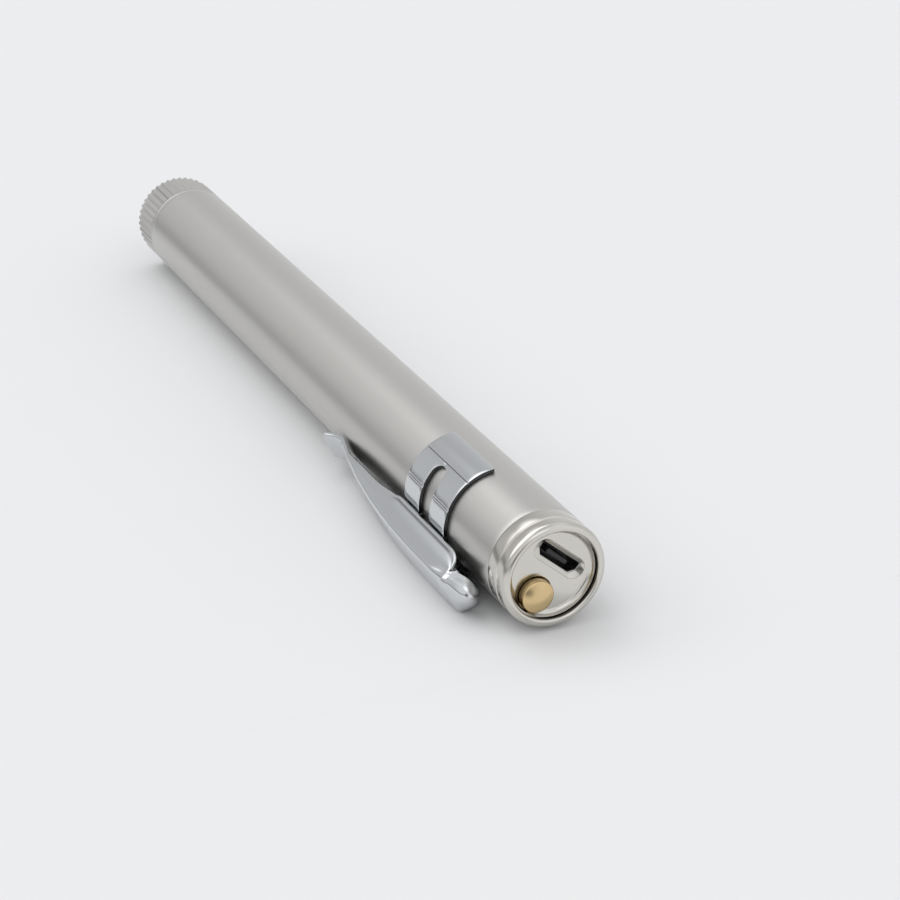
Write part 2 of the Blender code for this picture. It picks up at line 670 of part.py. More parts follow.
def window_tool():
    """Cutter for the band's window: straight sides, one round end, drawn out from the axis."""
    radius = WINDOW_WIDTH / 2
    half_turn = radius / BAND_RADIUS
    start = math.asin((EAR_OUTER + SEAT_GAP) / BAND_RADIUS)
    end = WINDOW_TOP_ANGLE - half_turn
    side = [start + (end - start) * i / CURVE_STEPS for i in range(CURVE_STEPS + 1)]
    low = [(angle, -radius) for angle in side]
    high = [(angle, radius) for angle in reversed(side)]
    round_end = [
        (end + x / BAND_RADIUS, y)
        for x, y in arc((0, 0), radius, -math.pi / 2, math.pi / 2, CURVE_STEPS)[1:-1]
    ]
    outline = low + round_end + high
    sections = []
    for reach in (BAND_BORE - 3 * BAND_THICKNESS, 2 * BAND_RADIUS):
        sections.append(
            [(reach * math.cos(a), BAND_MIDDLE + y, reach * math.sin(a)) for a, y in outline]
        )
    return loft(sections)


def mirrored(shape):
    bmesh.ops.scale(shape, verts=shape.verts, vec=(1, 1, -1))
    return shape


def ear_shape():
    base = math.sqrt(BAND_BORE**2 - EAR_INNER**2) + BAND_THICKNESS / 3
    top = arc((PIVOT_RADIUS, PIVOT_S), EAR_END_RADIUS, -math.pi / 2, math.pi / 2, CURVE_STEPS)
    outline = [(base, PIVOT_S - EAR_END_RADIUS), *top, (base, PIVOT_S + EAR_END_RADIUS)]
    return prism(outline, EAR_INNER, EAR_OUTER, "Z")


def pin_round(radius, half_length):
    outline = arc((PIVOT_RADIUS, PIVOT_S), radius, 0, 2 * math.pi, PIN_STEPS)[:-1]
    return prism(outline, -half_length, half_length, "Z")


def make_band(clip_frame, chrome):
    section = arc((0, 0), BAND_RADIUS, -BAND_HALF_ANGLE, BAND_HALF_ANGLE, BAND_STEPS)
    section += arc((0, 0), BAND_BORE, BAND_HALF_ANGLE, -BAND_HALF_ANGLE, BAND_STEPS)
    band = piece("clip_band", prism(section, BAND_S, BAND_S + BAND_WIDTH), clip_frame, chrome)
    combine(band, cutter("window_upper_cut", mirrored(window_tool()), clip_frame), "DIFFERENCE")
    combine(band, cutter("window_lower_cut", window_tool(), clip_frame), "DIFFERENCE")
    combine(band, cutter("ear_upper_join", mirrored(ear_shape()), clip_frame), "UNION")
    combine(band, cutter("ear_lower_join", ear_shape(), clip_frame), "UNION")
    hole = pin_round(PIN_RADIUS + SLIP_GAP / 2, LEVER_HALF_WIDTH)
    combine(band, cutter("ear_hole_cut", hole, clip_frame), "DIFFERENCE")
    pin_half = LEVER_INNER_HALF + PIN_SOCKET_DEPTH - SLIP_GAP
    piece("clip_pin", pin_round(PIN_RADIUS, pin_half), clip_frame, chrome)


def bow_share(s, length):
    """Share of the full section left at s, on the quarter ellipse that closes the tail end."""
    if s >= LEVER_BOW_S:
        return 1.0
    return math.sqrt(max(0.0, 1 - ((LEVER_BOW_S - s) / length) ** 2))


def lever_back(s):
    """Radius of the lever's outer face: a bow, a crown, a long fall to the jaw and an upturned lip."""
    if s > LEVER_JAW_S:
        return JAW_RADIUS + (s - LEVER_JAW_S) ** 2 / (2 * LEVER_FLARE_RADIUS)
    if s > LEVER_CROWN_S:
        share = (s - LEVER_CROWN_S) / (LEVER_JAW_S - LEVER_CROWN_S)
        return CROWN_RADIUS - (CROWN_RADIUS - JAW_RADIUS) * share**LEVER_FALL_POWER
    return CROWN_RADIUS


def lever_half(s):
    """Half width of the lever's outer face, before the bow narrows it."""
    taper_start = BAND_S + 2 * BAND_WIDTH
    if s <= taper_start:
        return LEVER_HALF_WIDTH
    share = min(1.0, (s - taper_start) / (LEVER_JAW_S - taper_start))
    return LEVER_HALF_WIDTH + (LEVER_JAW_HALF_WIDTH - LEVER_HALF_WIDTH) * share


def lever_edge(s):
    """Radius of the walls' free edge: along the bow, round the tail corner, over the band, then higher."""
    bow_edge = CROWN_RADIUS - LEVER_BOW_DROP
    if s <= LEVER_BOW_S:
        return bow_edge + LEVER_TIP_RISE * (1 - bow_share(s, LEVER_BOW_LENGTH))
    if s < LEVER_CORNER_S:
        share = (LEVER_CORNER_S - s) / (LEVER_CORNER_S - LEVER_BOW_S)
        return EDGE_RADIUS + (bow_edge - EDGE_RADIUS) * (1 - math.sqrt(1 - share**2))
    past = min(1.0, max(0.0, (s - BAND_S - BAND_WIDTH) / LEVER_RISE_RUN))
    rise = LEVER_EDGE_RISE * past**2 * (3 - 2 * past)
    return min(EDGE_RADIUS + rise, lever_back(s) - LEVER_BEND)


def lever_section(s, inset, bottom):
    """Channel section at s: side, bend, back, bend, side; inset is the sheet for the hollow inside."""
    share = bow_share(s, LEVER_BOW_LENGTH - inset)
    half = max((lever_half(s) - inset) * share, MERGE)
    tip = CROWN_RADIUS - LEVER_BOW_DROP + LEVER_TIP_RISE
    back = lever_back(s) - inset
    if s < LEVER_BOW_S:
        back = tip + (back - tip) * share
    bend = min(LEVER_BEND - inset, LEVER_BEND_SHARE * half, LEVER_BEND_SHARE * (back - bottom))
    upper = arc((back - bend, -half + bend), bend, -math.pi / 2, 0, FILLET_STEPS)
    lower = arc((back - bend, half - bend), bend, 0, math.pi / 2, FILLET_STEPS)
    outline = [(bottom, -half), *upper, *lower, (bottom, half)]
    return [(r, s, t) for r, t in outline]


def lever_stations(start, end):
    """Places along the lever: close together round the bow and the jaw, further apart between."""
    stations = []
    for i in range(BOW_STATIONS + 1):
        stations.append(LEVER_BOW_S - (LEVER_BOW_S - start) * math.cos(0.5 * math.pi * i / BOW_STATIONS))
    for low, high, count in (
        (LEVER_BOW_S, LEVER_CORNER_S, CORNER_STATIONS),
        (LEVER_CORNER_S, LEVER_JAW_S, BODY_STATIONS),
        (LEVER_JAW_S, end, LIP_STATIONS),
    ):
        stations += [low + (high - low) * i / count for i in range(1, count + 1)]
    return stations


def make_lever(clip_pivot, clip_frame, chrome):
    place = (PIVOT_RADIUS, PIVOT_S, 0)
    tip = LEVER_BOW_S - LEVER_BOW_LENGTH
    stations = lever_stations(tip + SEAT_GAP, LEVER_END_S)
    outer = loft([lever_section(s, 0, lever_edge(s)) for s in stations])
    lever = piece("clip_lever", outer, clip_pivot, chrome, place)
    deep = BARREL_RADIUS / 2
    stations = lever_stations(tip + LEVER_SHEET + SEAT_GAP, LEVER_END_S + LEVER_SHEET)
    inner = loft([lever_section(s, LEVER_SHEET, deep) for s in stations])
    combine(lever, cutter("lever_hollow_cut", inner, clip_frame), "DIFFERENCE")
    socket = pin_round(PIN_HOLE_RADIUS, LEVER_INNER_HALF + PIN_SOCKET_DEPTH)
    combine(lever, cutter("lever_socket_cut", socket, clip_frame), "DIFFERENCE")


def make_spring(clip_frame, spring_steel):
    """Torsion spring round the pin: one leg lies along the band, the other lifts the lever's tail end."""
    half_run = SPRING_TURNS * SPRING_PITCH / 2
    count = SPRING_TURNS * SPRING_POINTS_PER_TURN
    coil = []
    for i in range(count + 1):
        angle = math.pi + 2 * math.pi * i / SPRING_POINTS_PER_TURN
        along = -half_run + 2 * half_run * i / count
        out = PIVOT_RADIUS + SPRING_COIL_RADIUS * math.cos(angle)
        coil.append((out, PIVOT_S + SPRING_COIL_RADIUS * math.sin(angle), along))
    low = BAND_RADIUS + SPRING_WIRE_RADIUS + SEAT_GAP
    high = CROWN_RADIUS - LEVER_SHEET - SPRING_WIRE_RADIUS - SPRING_LEG_DROP
    points = [(low, BAND_MIDDLE, -half_run), *coil, (high, LEVER_CORNER_S, half_run)]
    wire("clip_spring", points, SPRING_WIRE_RADIUS, clip_frame, spring_steel)


def main():
    clear_scene()
    satin = material("satin_steel", (0.62, 0.61, 0.58), 0.32, 1.0)
    polished = material("polished_steel", (0.70, 0.69, 0.66), 0.16, 1.0)
    chrome = material("clip_chrome", (0.66, 0.68, 0.70), 0.10, 1.0)
    brass = material("button_brass", (0.72, 0.58, 0.34), 0.28, 1.0)
    shell_metal = material("port_nickel", (0.60, 0.60, 0.58), 0.30, 1.0)
    black_plastic = material("black_plastic", (0.02, 0.02, 0.02), 0.45, 0.0)
    white_plastic = material("white_plastic", (0.80, 0.79, 0.76), 0.50, 0.0)
    grey_foam = material("grey_foam", (0.20, 0.20, 0.21), 0.90, 0.0)
    board_green = material("board_green", (0.03, 0.16, 0.07), 0.45, 0.0)
    wrap = material("cell_wrap", (0.05, 0.16, 0.45), 0.35, 0.0)
    red = material("lead_red", (0.60, 0.03, 0.03), 0.45, 0.0)
    black = material("lead_black", (0.02, 0.02, 0.02), 0.45, 0.0)
    emitter_yellow = material("emitter_yellow", (0.85, 0.70, 0.20), 0.20, 0.0)
    mirror = material("reflector_mirror", (0.88, 0.88, 0.88), 0.06, 1.0)
    glass = material("lens_glass", (0.90, 0.94, 0.95), 0.03, 0.0)
    rubber = material("seal_rubber", (0.03, 0.03, 0.03), 0.70, 0.0)

    middle = (CLIP_REACH - BARREL_RADIUS) / 2
    pen = empty("pen", location=(middle, -LIGHT_LENGTH / 2, FLOOR_DROP))
    stack = empty("stack", pen, roll=STACK_ROLL)
    button_axis = empty("button_axis", stack, (0, 0, BUTTON_ACROSS))
    bezel_axis = empty("bezel_axis", pen, (0, BEZEL_START, 0))
    clip_frame = empty("clip_frame", pen, roll=math.pi - CLIP_DROP)
    clip_pivot = empty("clip_pivot", clip_frame, (PIVOT_RADIUS, PIVOT_S, 0))

    make_barrel(pen, satin)
    make_tail_cap(pen, stack, polished)
    make_port(stack, shell_metal, black_plastic)
    make_board(stack, board_green, black_plastic)
    make_switch(stack, button_axis, brass, white_plastic, black_plastic)
    make_cell(stack, wrap, white_plastic, grey_foam)
    make_leads(stack, red, black)
    make_light_engine(stack, brass, white_plastic, emitter_yellow, mirror)
    make_head(bezel_axis, satin, glass, rubber)
    make_band(clip_frame, chrome)
    make_lever(clip_pivot, clip_frame, chrome)
    make_spring(clip_frame, spring_steel=shell_metal)


main()
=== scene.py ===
"""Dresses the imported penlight: finer surfaces and finishes for its pieces, and a pale studio round it."""

import json
import math

import bmesh
import bpy
import numpy as np
from bpy.props import FloatProperty, FloatVectorProperty, IntProperty, PointerProperty
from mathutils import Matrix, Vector
from mathutils.geometry import delaunay_2d_cdt


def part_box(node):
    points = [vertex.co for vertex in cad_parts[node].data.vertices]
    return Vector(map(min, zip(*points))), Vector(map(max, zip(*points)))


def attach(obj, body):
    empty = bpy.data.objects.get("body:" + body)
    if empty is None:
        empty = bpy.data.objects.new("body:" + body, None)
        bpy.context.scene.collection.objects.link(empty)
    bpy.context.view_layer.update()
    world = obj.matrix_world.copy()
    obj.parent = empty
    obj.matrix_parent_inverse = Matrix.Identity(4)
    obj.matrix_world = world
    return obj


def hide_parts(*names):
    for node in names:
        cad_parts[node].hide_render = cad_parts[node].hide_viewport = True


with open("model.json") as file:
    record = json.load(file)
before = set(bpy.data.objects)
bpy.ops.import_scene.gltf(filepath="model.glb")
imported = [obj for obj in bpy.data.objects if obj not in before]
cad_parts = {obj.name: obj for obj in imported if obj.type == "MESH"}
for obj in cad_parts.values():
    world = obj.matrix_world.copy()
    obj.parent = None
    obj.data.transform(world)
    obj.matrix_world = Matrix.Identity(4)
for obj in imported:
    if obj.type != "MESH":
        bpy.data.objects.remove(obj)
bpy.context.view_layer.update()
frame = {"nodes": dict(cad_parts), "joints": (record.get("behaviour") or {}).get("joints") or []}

bl_info = {
    "name": "Rechargeable penlight",
    "version": (1, 0, 0),
    "blender": (4, 5, 0),
    "location": "View3D > Sidebar > Penlight",
    "description": "Fine surfaces, finishes and a studio for a steel penlight with a clip",
    "category": "Object",
}

MM = 0.001
WELD = 1e-7
TURN = 2 * math.pi

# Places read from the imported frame: the barrel's axis, the clip's side and the roll of the port and button
BARREL_LOW, BARREL_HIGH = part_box("barrel_tube")
AXIS = np.array([(BARREL_LOW.x + BARREL_HIGH.x) / 2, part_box("tail_cap")[0].y, (BARREL_LOW.z + BARREL_HIGH.z) / 2])
RADIUS = (BARREL_HIGH.x - BARREL_LOW.x) / 2
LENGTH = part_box("head_bezel")[1].y - AXIS[1]
JOINTS = {joint["name"]: joint for joint in frame["joints"]}
BUTTON = np.array(JOINTS["button_press"]["pos_m"]) - AXIS
PIVOT = np.array(JOINTS["clip_open"]["pos_m"]) - AXIS
HINGE = np.array(JOINTS["clip_open"]["axis"])


def unit(vector):
    return vector / np.linalg.norm(vector)


ALONG = np.array([0.0, 1.0, 0.0])
STACK_UP = -unit(np.array([BUTTON[0], 0.0, BUTTON[2]]))
STACK_SIDE = np.cross(ALONG, STACK_UP)
CLIP_OUT = unit(np.array([PIVOT[0], 0.0, PIVOT[2]]))
CLIP_SIDE = np.cross(CLIP_OUT, ALONG)
BARREL_FRAME = (np.array([1.0, 0.0, 0.0]), np.array([0.0, 0.0, 1.0]))
STACK_FRAME = (STACK_SIDE, STACK_UP)
CLIP_FRAME = (CLIP_OUT, CLIP_SIDE)


def length(name, description, millimetres):
    """Length property whose default is given in millimetres."""
    return FloatProperty(name=name, description=description, default=millimetres * MM, unit="LENGTH", precision=5)


def colour(name, description, value):
    return FloatVectorProperty(name=name, description=description, default=value, subtype="COLOR", size=3, min=0, max=1)


class PENLIGHT_PG_sizes(bpy.types.PropertyGroup):
    """Sizes of the fine surfaces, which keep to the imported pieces."""

    seam: length("Seam", "Gap between barrel and its two ends", 0.1)
    wall: length("Barrel wall", "Wall of the barrel tube", 0.8)
    cap: length("Tail cap", "Length of the tail cap that shows", 4.7)
    recess: length("Recess depth", "Depth of the tail recess", 1.5)
    rim: length("Rim width", "Width of the rim round the recess", 1.2)
    rim_round: length("Rim edge", "Rounding of the rim's outer edge", 0.85)
    lip_round: length("Lip edge", "Rounding of the rim's inner edge", 0.35)
    floor: length("Recess floor", "Thickness of the recess floor", 1.5)
    groove: length("Groove place", "Distance of the cap's groove from the tail", 2.3)
    groove_depth: length("Groove depth", "Depth of the cap's groove", 0.35)
    bezel: length("Bezel length", "Length of the fluted head that shows", 8.0)
    flute_depth: length("Flute depth", "Depth of the head's flutes", 0.3)
    flutes: IntProperty(name="Flutes", description="Flutes round the head", default=42, min=8, max=120)
    band_edge: length("Band edge", "Rounding of the clip band's edges", 0.07)
    bead: length("Wall bead", "How far the bead on the lever's edge stands out", 0.26)


class PENLIGHT_PG_finishes(bpy.types.PropertyGroup):
    """Colours of the finishes."""

    satin: colour("Satin steel", "Barrel and head", (0.575, 0.565, 0.545))
    polished: colour("Polished steel", "Tail cap", (0.62, 0.60, 0.56))
    bright: colour("Bright plate", "Clip", (0.66, 0.675, 0.69))
    brass: colour("Brass", "Push button", (0.66, 0.50, 0.27))
    nickel: colour("Nickel", "Port shell and spring", (0.52, 0.52, 0.50))
    black: colour("Black plastic", "Port insert, switch and chip", (0.012, 0.012, 0.013))
    white: colour("White plastic", "Sleeve, plunger and light board", (0.78, 0.77, 0.73))
    floor: colour("Floor", "Studio floor", (0.769, 0.772, 0.776))


def placed(first, along, second, axes):
    """World points from lengths along a frame's two cross directions and along the barrel, measured from its tail."""
    spots = np.broadcast_arrays(first, along, second)
    return AXIS + spots[0][..., None] * axes[0] + spots[1][..., None] * ALONG + spots[2][..., None] * axes[1]


def arc(centre, radius, start, end, steps):
    """Points of a circular arc, angles in degrees, both ends included."""
    turn = np.radians(np.linspace(start, end, steps + 1))
    return np.column_stack([centre[0] + radius * np.cos(turn), centre[1] + radius * np.sin(turn)])


def lines(*parts):
    """One outline from arcs and single points in order."""
    return np.vstack([np.atleast_2d(np.asarray(part, float)) for part in parts])


def grid(points, close_rows=False, close_columns=False):
    """Patch of four-sided faces over an array of points, optionally joined end to end either way."""
    rows, columns = points.shape[:2]
    row = np.arange(rows if close_rows else rows - 1)[:, None]
    column = np.arange(columns if close_columns else columns - 1)[None, :]
    next_row = (row + 1) % rows
    next_column = (column + 1) % columns
    faces = np.stack(
        np.broadcast_arrays(
            row * columns + column,
            row * columns + next_column,
            next_row * columns + next_column,
            next_row * columns + column,
        ),
        axis=-1,
    )
    return points.reshape(-1, 3), faces.reshape(-1, 4).tolist()


def turned(outline, axes, steps=160, centre=(0.0, 0.0), closed=False):
    """Surface of revolution: each outline point (radius, distance along) is carried round a line along the barrel."""
    turn = np.linspace(0, TURN, steps, endpoint=False)
    radius = outline[:, 0, None]
    points = placed(
        centre[0] + radius * np.cos(turn),
        outline[:, 1, None] + 0 * turn,
        centre[1] + radius * np.sin(turn),
        axes,
    )
    return grid(points, close_rows=closed, close_columns=True)


def carried(loops, stations, axes, closed=False):
    """Closed loops of (first, second) points, one for each station along the barrel, joined into a skin."""
    loops = np.asarray(loops, float)
    stations = np.asarray(stations, float)[:, None] + 0 * loops[:, :, 0]
    return grid(placed(loops[:, :, 0], stations, loops[:, :, 1], axes), close_rows=closed, close_columns=True)


def lid(loop, station, axes):
    """Flat end of a carried loop as one face."""
    points = placed(loop[:, 0], station, loop[:, 1], axes)
    return points, [list(range(len(loop)))]


def filled(loops, extra=None):
    """Triangles of a flat region: the first loop bounds it, the others are holes, extra points refine it."""
    loops = [loop if (area(loop) > 0) == (i == 0) else loop[::-1] for i, loop in enumerate(loops)]
    points = np.vstack(loops if extra is None else [*loops, extra])
    starts = np.cumsum([0] + [len(loop) for loop in loops])
    rims = [list(range(start, end)) for start, end in zip(starts, starts[1:])]
    made = delaunay_2d_cdt([Vector(p) for p in points.tolist()], [], rims, 2, WELD)
    return np.array([tuple(v) for v in made[0]]), [list(face) for face in made[2]]


def area(loop):
    """Twice the area inside a loop, positive when it runs anticlockwise."""
    after = np.roll(loop, -1, axis=0)
    return np.sum(loop[:, 0] * after[:, 1] - after[:, 0] * loop[:, 1])


def flat(loops, station, axes):
    """Flat region across the barrel at one station."""
    spots, faces = filled(loops)
    return placed(spots[:, 0], station, spots[:, 1], axes), faces


def rounded(corners, radii, steps=6):
    """Closed loop through corners, each replaced by an arc of its own radius tangent to both sides."""
    corners = np.asarray(corners, float)
    into = corners - np.roll(corners, 1, axis=0)
    out = np.roll(corners, -1, axis=0) - corners
    into /= np.linalg.norm(into, axis=1)[:, None]
    out /= np.linalg.norm(out, axis=1)[:, None]
    bend = np.arccos(np.clip((into * out).sum(1), -1, 1))
    radii = np.broadcast_to(np.asarray(radii, float), bend.shape)
    cut = (radii * np.tan(bend / 2))[:, None, None]
    share = np.linspace(0, 1, steps + 1)[None, :, None]
    start = corners[:, None] - cut * into[:, None]
    end = corners[:, None] + cut * out[:, None]
    pull = np.cos(bend / 2)[:, None, None]
    blend = (1 - share) ** 2 + 2 * pull * share * (1 - share) + share**2
    path = ((1 - share) ** 2 * start + 2 * pull * share * (1 - share) * corners[:, None] + share**2 * end) / blend
    return path.reshape(-1, 2)


def dense(loop, step):
    """Loop with its long sides cut into steps no longer than step."""
    ends = np.roll(loop, -1, axis=0)
    count = np.maximum(1, np.ceil(np.linalg.norm(ends - loop, axis=1) / step).astype(int))
    source = np.repeat(np.arange(len(loop)), count)
    first = np.repeat(np.cumsum(count) - count, count)
    share = ((np.arange(count.sum()) - first) / count[source])[:, None]
    return loop[source] * (1 - share) + ends[source] * share


def grown(loop, distance):
    """Loop moved outwards by a distance, along the mean of its two sides' normals at each point."""
    into = loop - np.roll(loop, 1, axis=0)
    out = np.roll(loop, -1, axis=0) - loop
    sign = 1.0 if area(loop) > 0 else -1.0
    first = sign * np.column_stack([into[:, 1], -into[:, 0]]) / np.linalg.norm(into, axis=1)[:, None]
    second = sign * np.column_stack([out[:, 1], -out[:, 0]]) / np.linalg.norm(out, axis=1)[:, None]
    mean = (first + second) / (1 + (first * second).sum(1))[:, None]
    return loop + distance * mean


def smooth(value, low, high):
    """Smooth step from 0 to 1 between two values."""
    share = np.clip((value - low) / (high - low), 0, 1)
    return share**2 * (3 - 2 * share)


def stadium(half_run, half_height, centre, steps=20):
    """Loop of two half circles joined by straight sides."""
    right = arc((centre[0] + half_run, centre[1]), half_height, -90, 90, steps)
    left = arc((centre[0] - half_run, centre[1]), half_height, 90, 270, steps)
    return np.vstack([right, left])


def circle(radius, centre=(0.0, 0.0), steps=160):
    return arc(centre, radius, 0, 360, steps)[:-1]


def build(name, patches, finish, body, nodes, sharp=32, painted_shade_and_bare=None):
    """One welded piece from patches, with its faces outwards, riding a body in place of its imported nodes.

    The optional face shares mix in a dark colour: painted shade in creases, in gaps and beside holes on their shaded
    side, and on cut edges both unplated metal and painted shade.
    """
    counts = np.cumsum([0] + [len(points) for points, _ in patches])
    points = np.vstack([patch[0] for patch in patches])
    faces = [[start + i for i in face] for start, (_, group) in zip(counts, patches) for face in group]
    mesh = bpy.data.meshes.new(name)
    mesh.from_pydata(points.tolist(), [], faces)
    if painted_shade_and_bare is not None:
        mesh.attributes.new("painted_shade_and_bare", "FLOAT", "FACE").data.foreach_set("value", np.concatenate(painted_shade_and_bare))
    shape = bmesh.new()
    shape.from_mesh(mesh)
    bmesh.ops.remove_doubles(shape, verts=shape.verts, dist=WELD)
    bmesh.ops.dissolve_degenerate(shape, edges=shape.edges, dist=WELD)
    bmesh.ops.recalc_face_normals(shape, faces=shape.faces)
    shape.to_mesh(mesh)
    shape.free()
    mesh.shade_smooth()
    mesh.set_sharp_from_angle(angle=math.radians(sharp))
    mesh.materials.append(finish)
    made = bpy.data.objects.new(name, mesh)
    bpy.context.scene.collection.objects.link(made)
    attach(made, body)
    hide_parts(*nodes)
    return made


class Sheet:
    """Node tree under construction, with short calls for adding and joining nodes."""

    def __init__(self, tree):
        self.tree = tree

    def add(self, kind, **settings):
        node = self.tree.nodes.new(kind)
        for key, value in settings.items():
            setattr(node, key, value)
        return node

    def join(self, source, target):
        self.tree.links.new(source, target)

    def math(self, operation, first, second=None):
        node = self.add("ShaderNodeMath", operation=operation)
        for socket, value in zip(node.inputs, (first, second)):
            if isinstance(value, (int, float)):
                socket.default_value = value
            elif value is not None:
                self.join(value, socket)
        return node.outputs[0]

    def spread(self, value, low, high):
        """Value from 0 to 1 spread over a new range."""
        node = self.add("ShaderNodeMapRange")
        node.inputs["To Min"].default_value = low
        node.inputs["To Max"].default_value = high
        self.join(value, node.inputs["Value"])
        return node.outputs["Result"]

    def step(self, value, low, high):
        """Smooth step of a value, from 0 at low to 1 at high."""
        node = self.add("ShaderNodeMapRange", interpolation_type="SMOOTHSTEP")
        node.inputs["From Min"].default_value = low
        node.inputs["From Max"].default_value = high
        self.join(value, node.inputs["Value"])
        return node.outputs["Result"]

    def mix(self, share, first, second):
        node = self.add("ShaderNodeMix", data_type="RGBA")
        for name, value in (("Factor_Float", share), ("A_Color", first), ("B_Color", second)):
            socket = next(s for s in node.inputs if s.identifier == name)
            if isinstance(value, (int, float)):
                socket.default_value = value
            elif isinstance(value, (tuple, list)):
                socket.default_value = (*value[:3], 1.0)
            else:
                self.join(value, socket)
        return next(s for s in node.outputs if s.identifier == "Result_Color")

    def noise(self, vector, scale, detail=2.0, rough=0.5):
        node = self.add("ShaderNodeTexNoise")
        node.inputs["Scale"].default_value = scale
        node.inputs["Detail"].default_value = detail
        node.inputs["Roughness"].default_value = rough
        self.join(vector, node.inputs["Vector"])
        return node.outputs["Fac"]

    def lobe(self, place, aim, edge, core):
        """Share of a round patch of the world: 1 near its aim, 0 beyond its edge, both given as cosines."""
        facing = self.add("ShaderNodeVectorMath", operation="DOT_PRODUCT")
        facing.inputs[1].default_value = aim
        self.join(place.outputs["Generated"], facing.inputs[0])
        return self.step(facing.outputs["Value"], edge, core)

    def stretched(self, scale):
        """Object coordinates scaled differently along each axis."""
        place = self.add("ShaderNodeTexCoord")
        mapping = self.add("ShaderNodeMapping")
        mapping.inputs["Scale"].default_value = scale
        self.join(place.outputs["Object"], mapping.inputs["Vector"])
        return mapping.outputs["Vector"]


def new_group(name, outputs):
    tree = bpy.data.node_groups.new(name, "ShaderNodeTree")
    for output in outputs:
        tree.interface.new_socket(name=output, in_out="OUTPUT", socket_type="NodeSocketFloat")
    sheet = Sheet(tree)
    return sheet, sheet.add("NodeGroupOutput")


def lathe_group():
    """Fine lines left by turning: they run round the barrel, so they change only along it."""
    sheet, out = new_group("Turned lines", ("Lines", "Bands"))
    fine = sheet.noise(sheet.stretched((60, 9000, 60)), 1.0, 3.0, 0.6)
    broad = sheet.noise(sheet.stretched((25, 900, 25)), 1.0, 2.0, 0.5)
    sheet.join(fine, out.inputs["Lines"])
    sheet.join(broad, out.inputs["Bands"])
    return out.id_data


def handling_group():
    """Soft patches and thin scratches from handling, from 0 for clean to 1 for marked."""
    sheet, out = new_group("Handling marks", ("Smudge", "Scratch"))
    patches = sheet.noise(sheet.stretched((1, 0.45, 1)), 210.0, 4.0, 0.55)
    streak = sheet.noise(sheet.stretched((900, 160, 900)), 1.0, 2.0, 0.5)
    cross = sheet.noise(sheet.stretched((240, 1500, 240)), 1.0, 2.0, 0.5)
    thin = sheet.math("MULTIPLY", sheet.math("GREATER_THAN", streak, 0.66), sheet.math("GREATER_THAN", cross, 0.5))
    sheet.join(patches, out.inputs["Smudge"])
    sheet.join(thin, out.inputs["Scratch"])
    return out.id_data


def material(name):
    made = bpy.data.materials.new(name)
    made.use_nodes = True
    sheet = Sheet(made.node_tree)
    return made, sheet, made.node_tree.nodes["Principled BSDF"]


def use(sheet, group):
    node = sheet.add("ShaderNodeGroup")
    node.node_tree = group
    return node


def metal(name, base, rough, spread, lines_depth, groups, painted_shade_and_bare=None):
    """Metal with turned lines in its bump, smudges in its roughness and tone, and a dark colour mixed in by face shares
    for painted shade, and on cut edges for unplated metal as well.
    """
    made, sheet, shader = material(name)
    lathe = use(sheet, groups["lathe"])
    marks = use(sheet, groups["handling"])
    dull = tuple(0.97 * c for c in base)
    tone = sheet.mix(marks.outputs["Smudge"], tuple(base), dull)
    wear_and_painted_shade = sheet.mix(sheet.math("MULTIPLY", marks.outputs["Scratch"], 0.12), tone, tuple(min(1, 1.15 * c) for c in base))
    # Mix in the dark colour by each face's share: painted shade, and on cut edges also unplated metal
    if painted_shade_and_bare:
        wear_and_painted_shade = sheet.mix(sheet.add("ShaderNodeAttribute", attribute_name="painted_shade_and_bare").outputs["Fac"], wear_and_painted_shade, painted_shade_and_bare)
    sheet.join(wear_and_painted_shade, shader.inputs["Base Color"])
    smears = sheet.math("MULTIPLY", marks.outputs["Smudge"], 0.7)
    mixed = sheet.math("ADD", smears, sheet.math("MULTIPLY", lathe.outputs["Bands"], 0.3))
    sheet.join(sheet.spread(mixed, rough - spread, rough + spread), shader.inputs["Roughness"])
    bump = sheet.add("ShaderNodeBump")
    bump.inputs["Strength"].default_value = lines_depth
    bump.inputs["Distance"].default_value = 0.00002
    sheet.join(lathe.outputs["Lines"], bump.inputs["Height"])
    sheet.join(bump.outputs["Normal"], shader.inputs["Normal"])
    shader.inputs["Metallic"].default_value = 1.0
    return made


def moulded(name, base, rough, groups, grain=600.0, depth=0.15, specular=0.5):
    """Moulded or coated surface: fine grain in the bump, and slow changes of tone and gloss."""
    made, sheet, shader = material(name)
    marks = use(sheet, groups["handling"])
    sheet.join(sheet.mix(marks.outputs["Smudge"], tuple(base), tuple(0.8 * c for c in base)), shader.inputs["Base Color"])
    sheet.join(sheet.spread(marks.outputs["Smudge"], rough - 0.08, rough + 0.08), shader.inputs["Roughness"])
    fine = sheet.noise(sheet.stretched((1, 1, 1)), grain * 10, 2.0)
    bump = sheet.add("ShaderNodeBump")
    bump.inputs["Strength"].default_value = depth
    bump.inputs["Distance"].default_value = 0.00002
    sheet.join(fine, bump.inputs["Height"])
    sheet.join(bump.outputs["Normal"], shader.inputs["Normal"])
    shader.inputs["Specular IOR Level"].default_value = specular
    return made


def lens_glass(name, groups):
    """Clear lens with faint smears in its gloss."""
    made, sheet, shader = material(name)
    marks = use(sheet, groups["handling"])
    shader.inputs["Base Color"].default_value = (0.93, 0.96, 0.97, 1)
    sheet.join(sheet.spread(marks.outputs["Smudge"], 0.0, 0.05), shader.inputs["Roughness"])
    shader.inputs["Transmission Weight"].default_value = 1.0
    shader.inputs["IOR"].default_value = 1.49
    return made


def finish(name):
    return bpy.data.materials[name]


